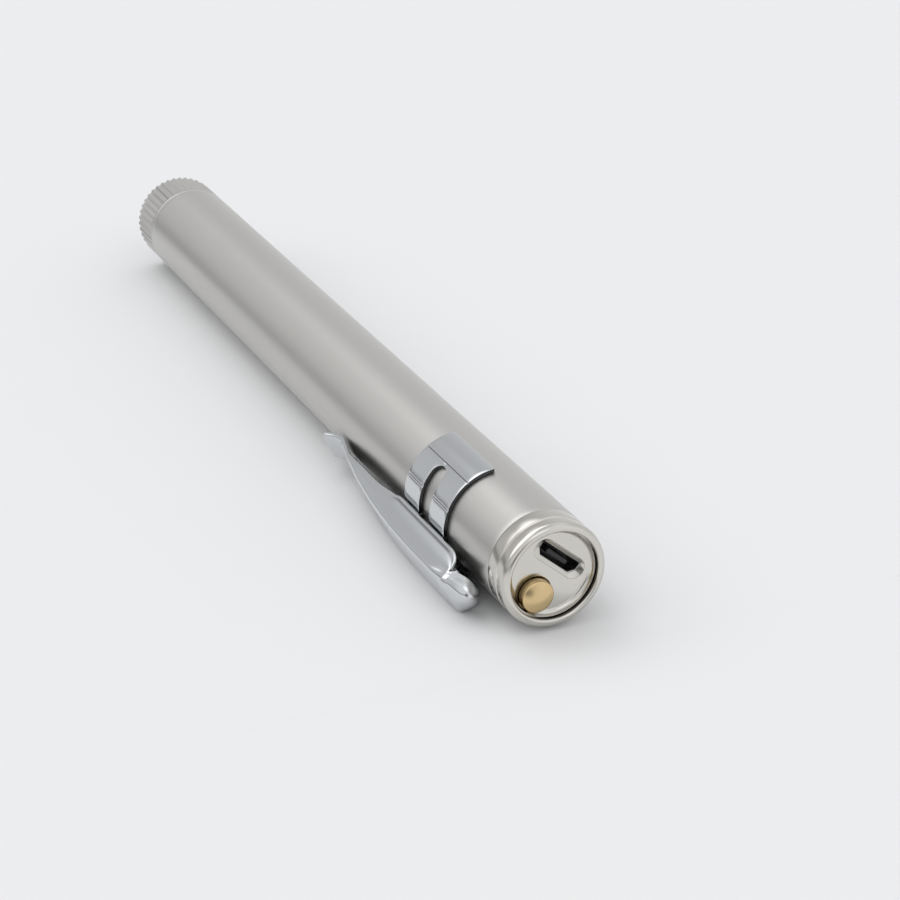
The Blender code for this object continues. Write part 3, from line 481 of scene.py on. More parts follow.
class PENLIGHT_OT_finishes(bpy.types.Operator):
    """Make the finishes and give them to the pieces inside the barrel"""

    bl_idname = "penlight.finishes"
    bl_label = "Finishes"

    def execute(self, context):
        look = context.scene.penlight_finishes
        groups = {"lathe": lathe_group(), "handling": handling_group()}
        metal("satin steel finish", look.satin, 0.35, 0.03, 0.05, groups)
        # The dark colours of the polished steel and the bright plate are painted shade: in the tail's gap and beside
        # the button hole, and on the clip's creases and bead root, and on its cut edges, where they also stand for
        # unplated metal
        metal("polished steel finish", look.polished, 0.17, 0.05, 0.03, groups, (0.035, 0.03, 0.025))
        metal("bright plate finish", look.bright, 0.1, 0.03, 0.0, groups, (0.02, 0.02, 0.022))
        metal("brass finish", look.brass, 0.24, 0.08, 0.04, groups)
        metal("nickel finish", look.nickel, 0.26, 0.08, 0.02, groups)
        metal("mirror finish", (0.88, 0.88, 0.88), 0.06, 0.03, 0.0, groups)
        moulded("black plastic finish", look.black, 0.38, groups)
        moulded("white plastic finish", look.white, 0.45, groups)
        moulded("foam finish", (0.18, 0.18, 0.19), 0.85, groups, 150.0, 0.6)
        moulded("board finish", (0.02, 0.15, 0.06), 0.40, groups)
        moulded("cell wrap finish", (0.03, 0.13, 0.42), 0.30, groups)
        moulded("red lead finish", (0.55, 0.02, 0.02), 0.40, groups)
        moulded("black lead finish", (0.015, 0.015, 0.015), 0.40, groups)
        moulded("rubber finish", (0.02, 0.02, 0.02), 0.60, groups)
        moulded("emitter finish", (0.86, 0.68, 0.16), 0.18, groups)
        lens_glass("lens finish", groups)
        inside = {
            "black plastic finish": ("switch_body", "charge_chip"),
            "white plastic finish": ("switch_plunger", "cell_sleeve", "led_board"),
            "foam finish": ("cell_spacer",),
            "board finish": ("control_board",),
            "cell wrap finish": ("battery_cell",),
            "red lead finish": ("battery_lead_plus", "led_lead_plus"),
            "black lead finish": ("battery_lead_minus", "led_lead_minus"),
            "brass finish": ("led_pill",),
            "nickel finish": ("clip_spring",),
            "bright plate finish": ("clip_pin",),
            "rubber finish": ("lens_seal",),
            "emitter finish": ("led_emitter",),
        }
        for name, nodes in inside.items():
            for node in nodes:
                dressed = frame["nodes"][node]
                dressed.data.materials.clear()
                dressed.data.materials.append(finish(name))
        return {"FINISHED"}


class PENLIGHT_OT_barrel(bpy.types.Operator):
    """Make the barrel tube"""

    bl_idname = "penlight.barrel"
    bl_label = "Barrel"

    def execute(self, context):
        size = context.scene.penlight_sizes
        start = size.cap + size.seam
        end = LENGTH - size.bezel - size.seam
        edge = 0.12 * MM
        bore = RADIUS - size.wall
        outline = lines(
            (bore, start),
            arc((RADIUS - edge, start + edge), edge, 270, 360, 5),
            np.column_stack([np.full(24, RADIUS), np.linspace(start + 1 * MM, end - 1 * MM, 24)]),
            arc((RADIUS - edge, end - edge), edge, 0, 90, 5),
            (bore, end),
        )
        patches = [turned(outline, BARREL_FRAME, closed=True, steps=256)]
        build("barrel", patches, finish("satin steel finish"), "light", ["barrel_tube"])
        return {"FINISHED"}


PORT_ACROSS = 2.05 * MM
PORT_POCKET = (2.85 * MM, 1.5 * MM)
POCKET_DEPTH = 0.4 * MM
BUTTON_ACROSS = -float(np.hypot(BUTTON[0], BUTTON[2]))
BUTTON_RADIUS = 2.3 * MM
BUTTON_HOLE = 2.46 * MM
DISH_FLAT = 5.4 * MM
DISH_EDGE = 6.1 * MM
DISH_RISE = 0.75 * MM
# Side of the button hole on which a painted shadow darkens the recess floor
SHADE_SIDE = np.array([-0.97, -0.24])


class PENLIGHT_OT_tail(bpy.types.Operator):
    """Make the tail cap with its rim, groove and recess"""

    bl_idname = "penlight.tail"
    bl_label = "Tail cap"

    def execute(self, context):
        size = context.scene.penlight_sizes
        inner = RADIUS - size.rim
        edge = 0.1 * MM
        spigot = RADIUS - size.wall - 0.05 * MM
        bore = spigot - 0.55 * MM
        spigot_end = size.cap + 7.0 * MM
        back = size.recess + size.floor
        half = 0.2 * MM
        bottom = RADIUS - size.groove_depth
        crest = 0.025 * MM
        gap = size.recess - 0.5 * MM

        def dish(spots):
            """Depth of the recess floor: level in the middle, then a quarter ellipse up to its edge."""
            out = np.clip((np.hypot(spots[..., 0], spots[..., 1]) - DISH_FLAT) / (DISH_EDGE - DISH_FLAT), 0, 1)
            return size.recess - DISH_RISE * (1 - np.sqrt(1 - out**2))

        outline = lines(
            arc((DISH_EDGE + crest, size.recess - DISH_RISE), crest, 180, 360, 4),
            (DISH_EDGE + 2 * crest, gap),
            (inner, gap),
            arc((inner + size.lip_round, size.lip_round), size.lip_round, 180, 270, 10),
            arc((RADIUS - size.rim_round, size.rim_round), size.rim_round, 270, 360, 16),
            arc((RADIUS - edge, size.groove - half - edge), edge, 0, 60, 3),
            (bottom, size.groove - 0.6 * half),
            (bottom, size.groove + 0.2 * half),
            arc((RADIUS - edge, size.groove + half + edge), edge, 300, 360, 3),
            arc((RADIUS - edge, size.cap - edge), edge, 0, 90, 4),
            (spigot, size.cap),
            (spigot, spigot_end),
            (bore, spigot_end),
            (bore, back),
        )
        pocket = stadium(*PORT_POCKET, (0.0, PORT_ACROSS))
        slot = port_loop(0.22 * MM)
        room = port_loop(-0.1 * MM)
        hole = circle(BUTTON_HOLE, (0.0, BUTTON_ACROSS), 96)
        shelf = size.recess + POCKET_DEPTH
        under = shelf + 0.06 * MM
        brink = 0.08 * MM
        turn = np.radians(np.linspace(0, 90, 5))
        steps = 192
        patches = [turned(outline, STACK_FRAME, steps=steps)]
        around = np.linspace(0, TURN, steps, endpoint=False)
        # Painted shade: the walls and bottom of the gap round the recess floor, and the start of the lip, take the dark
        # colour on one side of the cap only, fading round it
        dark = np.isin(np.arange(len(outline) - 1), (4, 5, 6, 7, 8))[:, None]
        painted_shade_and_bare = [(np.where(dark, 0.9, 0.0) * smooth(np.cos(around), -0.1, 0.7)[None, :]).ravel()]
        ring = DISH_FLAT + (DISH_EDGE - DISH_FLAT) * np.sin(np.linspace(0, math.pi / 2, 12)[:-1])[:, None]
        extra = np.stack([ring * np.cos(around), ring * np.sin(around)], axis=-1).reshape(-1, 2)
        moat = BUTTON_HOLE + np.linspace(2, 8, 7)[:, None] * brink
        moat = np.stack([moat * np.cos(around), BUTTON_ACROSS + moat * np.sin(around)], axis=-1).reshape(-1, 2)
        extra = extra[np.hypot(extra[:, 0], extra[:, 1] - BUTTON_ACROSS) > moat[-1, 0] + brink]
        extra = np.vstack([extra, moat[np.hypot(moat[:, 0], moat[:, 1]) < DISH_EDGE - 2 * brink]])
        rims = [circle(DISH_EDGE, steps=steps), grown(pocket, brink), grown(hole, brink)]
        spots, faces = filled(rims, extra)
        patches.append((placed(spots[:, 0], dish(spots), spots[:, 1], STACK_FRAME), faces))
        # Painted shadow: the recess floor beside the button hole takes the dark colour on the side given by SHADE_SIDE,
        # fading out between 0.15 and 0.7 mm from the hole
        middle = spots[np.array(faces)].mean(1) - np.array([0.0, BUTTON_ACROSS])
        reach = np.hypot(middle[:, 0], middle[:, 1])
        side = smooth((middle / reach[:, None]) @ SHADE_SIDE, 0.0, 0.7)
        painted_shade_and_bare.append(0.9 * side * (1 - smooth(reach, BUTTON_HOLE + 0.15 * MM, BUTTON_HOLE + 0.7 * MM)))
        spots, faces = filled([pocket, slot])
        far = np.linalg.norm(spots[:, None] - slot[None], axis=2).min(1) > WELD
        patches.append((placed(spots[:, 0], np.where(far, size.recess + brink, shelf), spots[:, 1], STACK_FRAME), faces))
        patches.append(flat([room, slot], under, STACK_FRAME))
        patches.append(flat([circle(bore, steps=steps), room, hole], back, STACK_FRAME))
        for loop, end in ((pocket, None), (hole, back)):
            rings = np.stack([grown(loop, brink * (1 - step)) for step in np.sin(turn)])
            depths = dish(rings) + brink * (1 - np.cos(turn))[:, None]
            if end:
                rings = np.concatenate([rings, loop[None]])
                depths = np.concatenate([depths, np.full((1, len(loop)), end)])
            patches.append(grid(placed(rings[..., 0], depths, rings[..., 1], STACK_FRAME), close_columns=True))
        patches.append(carried([slot, slot], [shelf, under], STACK_FRAME))
        patches.append(carried([room, room], [under, back], STACK_FRAME))
        painted_shade_and_bare.append(np.zeros(sum(len(patch[1]) for patch in patches) - sum(map(len, painted_shade_and_bare))))
        steel = finish("polished steel finish")
        build("tail_cup", patches, steel, "light", ["tail_cap"], painted_shade_and_bare=painted_shade_and_bare)
        return {"FINISHED"}


def port_loop(inset):
    """Port section: a rectangle with large cut corners on the button's side and small ones on the other."""
    half = 3.75 * MM - inset
    low = PORT_ACROSS - 1.2 * MM + inset
    high = PORT_ACROSS + 1.2 * MM - inset
    cut = 0.8 * MM
    corners = [(-half, low + cut), (-half + cut, low), (half - cut, low), (half, low + cut), (half, high), (-half, high)]
    small = max(0.06 * MM, 0.35 * MM - inset)
    return rounded(corners, [small, small, small, small, small, small], 5)


def block(low, high, edge, axes):
    """Box with rounded long edges and eased ends, carried along the barrel."""
    corners = [(low[0], low[2]), (high[0], low[2]), (high[0], high[2]), (low[0], high[2])]
    loop = rounded(corners, edge, 4)
    small = grown(loop, -edge / 2)
    stations = [low[1], low[1] + edge / 2, high[1] - edge / 2, high[1]]
    return [carried([small, loop, loop, small], stations, axes), lid(small, low[1], axes), lid(small, high[1], axes)]


class PENLIGHT_OT_port(bpy.types.Operator):
    """Make the charging port: its shell, and the insert with a tongue"""

    bl_idname = "penlight.port"
    bl_label = "Charging port"

    def execute(self, context):
        size = context.scene.penlight_sizes
        start = size.recess + POCKET_DEPTH + 0.08 * MM
        end = size.recess + 5.1 * MM
        edge = 0.13 * MM
        wall = 0.3 * MM
        turn = np.radians(np.linspace(0, 90, 5))
        loops = [port_loop(0.0)]
        stations = [end]
        loops += [port_loop(edge * (1 - math.cos(a))) for a in turn]
        stations += [start + edge * (1 - math.sin(a)) for a in turn]
        loops += [port_loop(wall - edge * (1 - math.cos(a))) for a in turn[::-1]]
        stations += [start + edge * (1 - math.sin(a)) for a in turn[::-1]]
        loops.append(port_loop(wall))
        stations.append(end)
        shell = [carried(loops, stations, STACK_FRAME, closed=True)]
        build("port_shell", shell, finish("nickel finish"), "light", ["usb_shell"])

        inner = port_loop(wall + 0.05 * MM)
        back = end - 0.35 * MM
        front = back - 1.2 * MM
        insert = [carried([inner, inner], [front, back], STACK_FRAME), lid(inner, front, STACK_FRAME), lid(inner, back, STACK_FRAME)]
        insert += block(
            (-1.9 * MM, start + 0.35 * MM, PORT_ACROSS - 0.36 * MM),
            (1.9 * MM, front + 0.6 * MM, PORT_ACROSS + 0.36 * MM),
            0.2 * MM,
            STACK_FRAME,
        )
        build("port_insert", insert, finish("black plastic finish"), "light", ["usb_insulator"])
        return {"FINISHED"}


class PENLIGHT_OT_button(bpy.types.Operator):
    """Make the domed push button"""

    bl_idname = "penlight.button"
    bl_label = "Push button"

    def execute(self, context):
        size = context.scene.penlight_sizes
        top = size.recess - 1.75 * MM
        edge = 0.28 * MM
        reach = 26
        ball = (BUTTON_RADIUS - edge) / math.sin(math.radians(reach)) + edge
        shoulder = top + ball - (ball - edge) * math.cos(math.radians(reach))
        back = size.recess + size.floor + 0.1 * MM
        outline = lines(
            arc((0.0, top + ball), ball, 270, 270 + reach, 16),
            arc((BUTTON_RADIUS - edge, shoulder), edge, 270 + reach, 360, 6),
            (BUTTON_RADIUS, back),
            (BUTTON_HOLE + 0.1 * MM, back),
            (BUTTON_HOLE + 0.1 * MM, back + 0.6 * MM),
            (0.0, back + 0.6 * MM),
        )
        patches = [turned(outline, STACK_FRAME, 96, (0.0, BUTTON_ACROSS))]
        build("push_button", patches, finish("brass finish"), "button", ["button_cap"])
        return {"FINISHED"}


class PENLIGHT_OT_head(bpy.types.Operator):
    """Make the fluted head, its lens and its reflector"""

    bl_idname = "penlight.head"
    bl_label = "Head"

    def execute(self, context):
        size = context.scene.penlight_sizes
        start = LENGTH - size.bezel
        spigot = RADIUS - size.wall - 0.05 * MM
        bore = spigot - 1.25 * MM
        mouth = bore - 0.8 * MM
        seat = LENGTH - 1.5 * MM
        edge = 0.12 * MM
        nose = 0.6 * MM
        run = np.linspace(start + 0.5 * MM, LENGTH - nose, 24)
        ring = lines(
            (bore, start - 4.0 * MM),
            (spigot, start - 4.0 * MM),
            (spigot, start),
            arc((RADIUS - edge, start + edge), edge, 270, 360, 4),
            np.column_stack([np.full(24, RADIUS), run]),
            arc((RADIUS - nose, LENGTH - nose), nose, 5, 90, 10),
            arc((mouth + 0.5 * MM, LENGTH - 0.5 * MM), 0.5 * MM, 90, 180, 8),
            (mouth, seat),
            (bore, seat),
        )
        depth = np.clip((ring[:, 1] - start - 0.5 * MM) / (0.35 * MM), 0, 1)
        depth *= np.clip((ring[:, 0] - (RADIUS - nose)) / nose, 0, 1) ** 0.7
        depth[ring[:, 1] < start + 0.2 * MM] = 0
        turn = np.linspace(0, TURN, size.flutes * 14, endpoint=False)
        share = (turn * size.flutes / TURN) % 1.0
        groove = np.cos(np.clip((share - 0.5) / 0.5, -1, 1) * math.pi / 2) ** 1.6
        reach = ring[:, 0, None] - size.flute_depth * depth[:, None] * groove[None, :]
        points = placed(reach * np.cos(turn), ring[:, 1, None] + 0 * turn, reach * np.sin(turn), BARREL_FRAME)
        patches = [grid(points, close_rows=True, close_columns=True)]
        build("fluted_head", patches, finish("satin steel finish"), "head", ["head_bezel"], sharp=40)

        glass = bore - 0.1 * MM
        lens_end = seat - 0.1 * MM
        lens_start = lens_end - 1.6 * MM
        crown = 0.35 * MM
        ball = (mouth**2 + crown**2) / (2 * crown)
        reach = math.degrees(math.asin((mouth - 0.1 * MM) / ball))
        outline = lines(
            (0.0, lens_start),
            arc((glass - edge, lens_start + edge), edge, 270, 360, 3),
            arc((glass - edge, lens_end - edge), edge, 0, 90, 3),
            arc((0.0, lens_end + crown - ball), ball, 90 - reach, 90, 20),
        )
        build("front_glass", [turned(outline, BARREL_FRAME, 128)], finish("lens finish"), "head", ["front_lens"])

        cup_end = lens_start - 0.6 * MM
        cup_start = LENGTH - 10.6 * MM
        share = np.linspace(0, 1, 40)
        throat = 2.1 * MM
        bowl = np.column_stack([throat + (glass - 0.5 * MM - throat) * np.sqrt(share), cup_start + (cup_end - cup_start) * share])
        outline = lines((glass, cup_end), (glass, cup_start), bowl)
        build("light_cup", [turned(outline, BARREL_FRAME, 128, closed=True)], finish("mirror finish"), "light", ["reflector"])
        return {"FINISHED"}


BAND_START = 17.25 * MM
BAND_WIDTH = 13.0 * MM
BAND_MIDDLE = BAND_START + BAND_WIDTH / 2
BAND_SHEET = 0.55 * MM
BAND_HALF = math.radians(114)
WINDOW_HALF = 1.65 * MM
WINDOW_FROM = math.radians(19.4)
WINDOW_TO = math.radians(79)
CREASES = (math.radians(50), math.radians(83))
CREASE_WIDTH = 0.12 * MM
CREASE_DEPTH = 0.1 * MM


class PENLIGHT_OT_band(bpy.types.Operator):
    """Make the clip's band with its two windows and the ears that carry the pin"""

    bl_idname = "penlight.band"
    bl_label = "Clip band"

    def execute(self, context):
        size = context.scene.penlight_sizes
        inner = RADIUS + 0.05 * MM
        outer = inner + BAND_SHEET
        half = BAND_HALF * outer
        width = BAND_WIDTH / 2
        outline = rounded([(-half, -width), (half, -width), (half, width), (-half, width)], 0.5 * MM, 6)
        low, high = WINDOW_FROM * outer, WINDOW_TO * outer
        slim = WINDOW_HALF
        window = rounded([(low, -slim), (high, -slim), (high, slim), (low, slim)], [0.3 * MM, slim * 0.995, slim * 0.995, 0.3 * MM], 12)
        mirrored = window[::-1] * np.array([-1.0, 1.0])
        loops = [dense(loop, 0.12 * MM) for loop in (outline, window, mirrored)]
        edge = size.band_edge
        turn = np.radians(np.linspace(0, 90, 5))
        steps = np.concatenate([edge * (1 - np.sin(turn)), edge * (1 - np.sin(turn[::-1]))])
        reach = np.concatenate([outer - edge * (1 - np.cos(turn)), inner + edge * (1 - np.cos(turn[::-1]))])
        near = np.array([-2.2, -1.6, -1.1, -0.7, -0.35, 0, 0.35, 0.7, 1.1, 1.6, 2.2]) * CREASE_WIDTH
        columns = [np.linspace(-half, half, 90)[1:-1]]
        columns += [side * (crease * outer + near) for crease in CREASES for side in (1, -1)]
        mesh_a, mesh_s = np.meshgrid(np.concatenate(columns), np.linspace(-width, width, 20)[1:-1])
        extra = np.column_stack([mesh_a.ravel(), mesh_s.ravel()])
        clear = np.ones(len(extra), bool)
        for side in (1, -1):
            a = extra[:, 0] * side
            clear &= ~((a > low - 0.3 * MM) & (a < high + 0.3 * MM) & (np.abs(extra[:, 1]) < slim + 0.3 * MM))
        extra = extra[clear]

        def rolled(spots, radius):
            angle = spots[..., 0] / outer
            off = (np.abs(angle)[..., None] - np.array(CREASES)) * outer / CREASE_WIDTH
            dent = CREASE_DEPTH * np.exp(-(off**2)).sum(-1)
            reach = radius - dent * (radius - inner) / BAND_SHEET
            return placed(reach * np.cos(angle), BAND_MIDDLE + spots[..., 1], reach * np.sin(angle), CLIP_FRAME)

        signs = (-1, 1, 1)
        patches = []
        painted_shade_and_bare = []
        for radius in (outer, inner):
            spots, faces = filled([grown(loop, sign * edge) for loop, sign in zip(loops, signs)], extra)
            patches.append((rolled(spots, radius), faces))
            # Painted shade: faces along the two creases take the dark colour
            middle = np.abs(spots[np.array(faces), 0].mean(1))[:, None] - np.array(CREASES) * outer
            painted_shade_and_bare.append(np.where(np.abs(middle).min(1) < 0.5 * CREASE_WIDTH, 0.75, 0.0))
        for loop, sign in zip(loops, signs):
            rings = np.stack([grown(loop, sign * step) for step in steps])
            patches.append(grid(rolled(rings, reach[:, None]), close_columns=True))
            # The cut edges, past the first part of their outer rounding, take the dark colour: unplated metal and
            # painted shade
            painted_shade_and_bare.append(np.repeat(np.where(np.arange(len(steps) - 1) < 3, 0.0, 0.9), len(loop)))
        for side in (1, -1):
            patches += ear(side)
        painted_shade_and_bare.append(np.zeros(sum(len(patch[1]) for patch in patches) - sum(map(len, painted_shade_and_bare))))
        plate = finish("bright plate finish")
        build("clip_ring", patches, plate, "light", ["clip_band"], sharp=28, painted_shade_and_bare=painted_shade_and_bare)
        return {"FINISHED"}


def ear(side):
    """One upright ear: a plate with a round top, carried across the clip's width, sunk into the band."""
    pivot = (float(np.hypot(PIVOT[0], PIVOT[2])), float(PIVOT[1]))
    half = 1.25 * MM
    top = arc(pivot, half, -90, 90, 16)
    base = RADIUS + 0.2 * MM
    loop = lines((base, pivot[1] - half), top, (base, pivot[1] + half))
    near, far = 2.0 * MM * side, 2.55 * MM * side
    points = np.stack([placed(loop[:, 0], loop[:, 1], t, CLIP_FRAME) for t in (near, far)])
    ends = [(points[i], [list(range(len(loop)))]) for i in (0, 1)]
    return [grid(points, close_columns=True), *ends]


LEVER_SHEET = 0.6 * MM
LEVER_HALF = 3.25 * MM
LEVER_BEND = 0.75 * MM
LEVER_CROWN = RADIUS + 4.6 * MM
LEVER_CROWN_S = 17.0 * MM
LEVER_JAW_S = 53.0 * MM
LEVER_END = 57.2 * MM
LEVER_FALL = 2.35
LEVER_JAW_HALF = 2.4 * MM
LEVER_FLARE = 6.5 * MM
LEVER_NOTCH_S = 10.1 * MM
LEVER_NOTCH_EDGE = LEVER_CROWN - 2.0 * MM
LEVER_BOW_S = 9.4 * MM
LEVER_BOW = 2.75 * MM
BOW_EDGE_STEP = 0.5 * MM
BULB_MIDDLE = LEVER_CROWN - 2.1 * MM
BULB_TURN = math.radians(52)
BOW_START = math.asin(0.8)
BEND_SWELL = 0.9 * MM
LEVER_CORNER_S = 14.2 * MM
EDGE_CLEAR = 0.18 * MM
EDGE_RISE = 0.7 * MM
RISE_RUN = 8.0 * MM
BEAD_ROUND = 0.3 * MM
BEAD_DROP = 0.18 * MM
BEAD_POINTS = 12
WALL_BULGE = 0.1 * MM


def lever_lines(s):
    """Back radius, half width and edge radius of the lever at places along it, all as arrays.

    The back is level over the tail, falls as a power of the distance to the jaw and turns up as a parabola.
    The edge climbs a quarter ellipse at the tail, lies just over the band, then rises and meets the back.
    """
    jaw = RADIUS + 0.05 * MM + LEVER_SHEET
    fall = np.clip((s - LEVER_CROWN_S) / (LEVER_JAW_S - LEVER_CROWN_S), 0, 1)
    back = LEVER_CROWN - (LEVER_CROWN - jaw) * fall**LEVER_FALL
    back = back + np.clip(s - LEVER_JAW_S, 0, None) ** 2 / (2 * LEVER_FLARE)
    taper_start = BAND_START + 2 * BAND_WIDTH
    taper = np.clip((s - taper_start) / (LEVER_JAW_S - taper_start), 0, 1)
    half = LEVER_HALF + (LEVER_JAW_HALF - LEVER_HALF) * taper
    band = RADIUS + 0.05 * MM + BAND_SHEET
    base = math.sqrt(band**2 - (LEVER_HALF - LEVER_SHEET) ** 2) + EDGE_CLEAR
    low = base + EDGE_RISE * smooth(s, BAND_START + BAND_WIDTH, BAND_START + BAND_WIDTH + RISE_RUN)
    climb = np.clip((LEVER_CORNER_S - s) / (LEVER_CORNER_S - LEVER_NOTCH_S), 0, 1)
    edge = low + (LEVER_NOTCH_EDGE - low) * (1 - np.sqrt(1 - climb**2))
    edge = edge - BOW_EDGE_STEP * smooth(-s, -LEVER_NOTCH_S, -LEVER_BOW_S)
    return back, half, np.minimum(edge, back - LEVER_BEND)


def lever_path(s, inset, bead):
    """Half of the lever's section from the free edge to the middle of the back, as (radius, side) arrays.

    Outside, the edge is a round bead that stands out by bead and hangs lower with it, then a wall bulged as half
    a sine, a quarter-round bend and a level back. Inside, where inset is the sheet, wall, bend and back are plain.
    """
    back, half, edge = (value[:, None] for value in lever_lines(s))
    stand = bead[:, None]
    ball = np.minimum(BEAD_ROUND, 0.16 * (back - edge))
    middle = edge + ball - BEAD_DROP * stand / bead.max()
    start = middle + (0.1 * MM if inset else ball * math.sin(math.radians(60)))
    swell = LEVER_BEND + BEND_SWELL * smooth(-s, -LEVER_CORNER_S, -LEVER_NOTCH_S)[:, None]
    bend = np.maximum(np.minimum(swell, 0.6 * (back - edge)) - inset, 0.12 * MM)
    top = np.maximum(back - inset - bend, start + 0.05 * MM)
    turn = np.radians(np.linspace(0, 90, 10))[None, 1:]
    corner_r = top + bend * np.sin(turn)
    corner_t = half - inset - bend + bend * np.cos(turn)
    flat_t = (half - inset - bend) * np.linspace(1, 0, 8)[None, 1:]
    share = np.linspace(0, 1, 18)[None, :]
    if inset:
        wall_r = start + (top - start) * share
        wall_t = half - inset + 0 * wall_r
    else:
        under = np.radians(np.linspace(-90, 0, 7))[None, :]
        over = np.radians(np.linspace(0, 60, 6))[None, 1:]
        run = (top - start) * share[:, 1:]
        root = 0.5 * stand * np.exp(-run / (0.1 * MM))
        bulge = WALL_BULGE * np.sin(share[:, 1:] * math.pi) * smooth(back - edge, 1.0 * MM, 3.0 * MM)
        wall_r = np.concatenate([middle + ball * np.sin(under), middle + ball * np.sin(over), start + run], 1)
        wall_t = np.concatenate(
            [
                half + stand - ball * (1 - np.cos(under)),
                half + stand * np.cos(over),
                half + root + bulge,
            ],
            axis=1,
        )
    radius = np.concatenate([wall_r, corner_r, top + bend + 0 * flat_t], axis=1)
    side = np.concatenate([wall_t, corner_t, flat_t], axis=1)
    return radius, side


def oval(path, middle, height, half):
    """Egg-shaped half section with as many points as a section path, spaced as its lengths.

    An ellipse about a middle radius: it starts below its widest place, where it has turned in, and ends at the back.
    """
    step = np.hypot(np.diff(path[0]), np.diff(path[1]))
    share = np.concatenate([[0.0], np.cumsum(step)]) / step.sum()
    turn = -BULB_TURN + share * (math.pi / 2 + BULB_TURN)
    return middle + height * np.sin(turn), half * np.cos(turn).clip(0)


class PENLIGHT_OT_lever(bpy.types.Operator):
    """Make the clip's lever, a boat-shaped channel with a closed bow and an upturned lip"""

    bl_idname = "penlight.lever"
    bl_label = "Clip lever"

    def execute(self, context):
        size = context.scene.penlight_sizes
        notch = np.linspace(LEVER_BOW_S, LEVER_NOTCH_S, 9)[:-1]
        climb = 1 - np.cos(np.linspace(0, 1, 22) * math.pi / 2)
        climb = LEVER_NOTCH_S + (LEVER_CORNER_S - LEVER_NOTCH_S) * climb
        run = np.linspace(LEVER_CORNER_S, LEVER_JAW_S, 80)[1:]
        lip = np.linspace(LEVER_JAW_S, LEVER_END, 14)[1:]
        s = np.concatenate([notch, climb, run, lip])
        past = BAND_START + BAND_WIDTH
        bead = size.bead * (1 - smooth(s, past, past + 2 * MM))
        bead = bead * (0.2 + 0.8 * smooth(s, LEVER_NOTCH_S - 0.2 * MM, LEVER_NOTCH_S + 0.5 * MM))
        outside = np.stack(lever_path(s, 0.0, bead))
        inside = np.stack(lever_path(s, LEVER_SHEET, bead))
        height = LEVER_CROWN - BULB_MIDDLE
        room = LEVER_HALF - LEVER_SHEET
        bulb = np.stack(oval(outside[:, 0], BULB_MIDDLE, height, LEVER_HALF))
        hollow = np.stack(oval(inside[:, 0], BULB_MIDDLE, height - LEVER_SHEET, room))
        rims = 3

        def folded(outer, inner):
            """Half section: from the middle of the back down the outside, round the rim and up the inside."""
            turn = np.linspace(0, math.pi / 2, rims + 2)[1:-1]
            low, high = outer[:, :, :1], inner[:, :, :1]
            rim_r = high[:1] - (high[:1] - low[:1]) * np.cos(turn)
            rim_t = low[1:] - (low[1:] - high[1:]) * np.sin(turn)
            return np.concatenate([outer[:, :, ::-1], np.concatenate([rim_r, rim_t]), inner], axis=2)

        section = folded(outside, inside)
        wall = np.arange(section.shape[2]) < outside.shape[2]
        along = s[:, None] + 0 * section[0]
        angle = np.linspace(BOW_START, math.pi - BOW_START, 73)[:, None]
        reach = (np.sin(angle) - math.sin(BOW_START)) / (1 - math.sin(BOW_START))
        across = np.cos(angle) / math.cos(BOW_START)
        fill = 1 - (1 - reach) ** 2
        bow = (1 - fill) * section[:, :1] + fill * folded(bulb[:, None], hollow[:, None])
        long, short = LEVER_BOW / LEVER_HALF, (LEVER_BOW - LEVER_SHEET) / room
        stretch = np.full(section.shape[2], short)
        stretch[wall] = long
        stretch[outside.shape[2] : outside.shape[2] + rims] = np.linspace(long, short, rims + 2)[1:-1]
        bow_s = LEVER_BOW_S - stretch * bow[1] * reach

        patches = [grid(placed(section[0], along, sign * section[1], CLIP_FRAME)) for sign in (1, -1)]
        patches.append(grid(placed(bow[0], bow_s, bow[1] * across, CLIP_FRAME)))
        end = section[:, -1].T
        patches.append(flat([np.vstack([end, end[-2:0:-1] * (1, -1)])], LEVER_END, CLIP_FRAME))
        # Painted shade: a dark line at the root of the bead on both walls, fading where the bead fades and towards the
        # bow
        root = outside.shape[2] - BEAD_POINTS - np.arange(section.shape[2] - 1)
        shade = np.interp(root, (0, 1, 2, 3), (0.0, 0.6, 0.3, 0.0))[None, :]
        shade = shade * (bead[:-1] / size.bead * smooth(s[:-1], LEVER_NOTCH_S + 2 * MM, LEVER_CORNER_S))[:, None]
        painted_shade_and_bare = [shade.ravel(), shade.ravel()]
        painted_shade_and_bare.append(np.zeros(sum(len(patch[1]) for patch in patches) - 2 * shade.size))
        plate = finish("bright plate finish")
        build("clip_boat", patches, plate, "lever", ["clip_lever"], sharp=40, painted_shade_and_bare=painted_shade_and_bare)
        return {"FINISHED"}


CAMERA_FROM_TAIL = np.array([-128.05, -245.84, 149.56]) * MM
CAMERA_AZIMUTH = math.radians(-24.69)
CAMERA_ELEVATION = math.radians(25.39)
CAMERA_LENS = 97.2
CAMERA_SENSOR = 36.0

# Soft lights round the studio and one dark patch: aim, cosine at the edge, cosine at the core, and level
LIGHTS = (
    ((-0.595, 0.281, 0.753), 0.83, 0.90, 1.05),
    ((-0.084, 0.542, 0.836), 0.92, 0.98, 1.18),
    ((0.0, -0.8, 0.6), 0.955, 0.985, 0.6),
)
# The floor close by shows in the steel with its shadows; beyond it the steel sees the world's own ground
NEAR_FLOOR = (np.array([-60.0, -6.0, 0.0]) * MM, np.array([60.0, 200.0, 0.0]) * MM)
FAR_FLOOR = 6.0
FLOOR_STEP = 0.01 * MM
SHADE = ((-0.16, -0.98, -0.08), 0.96, 0.985)


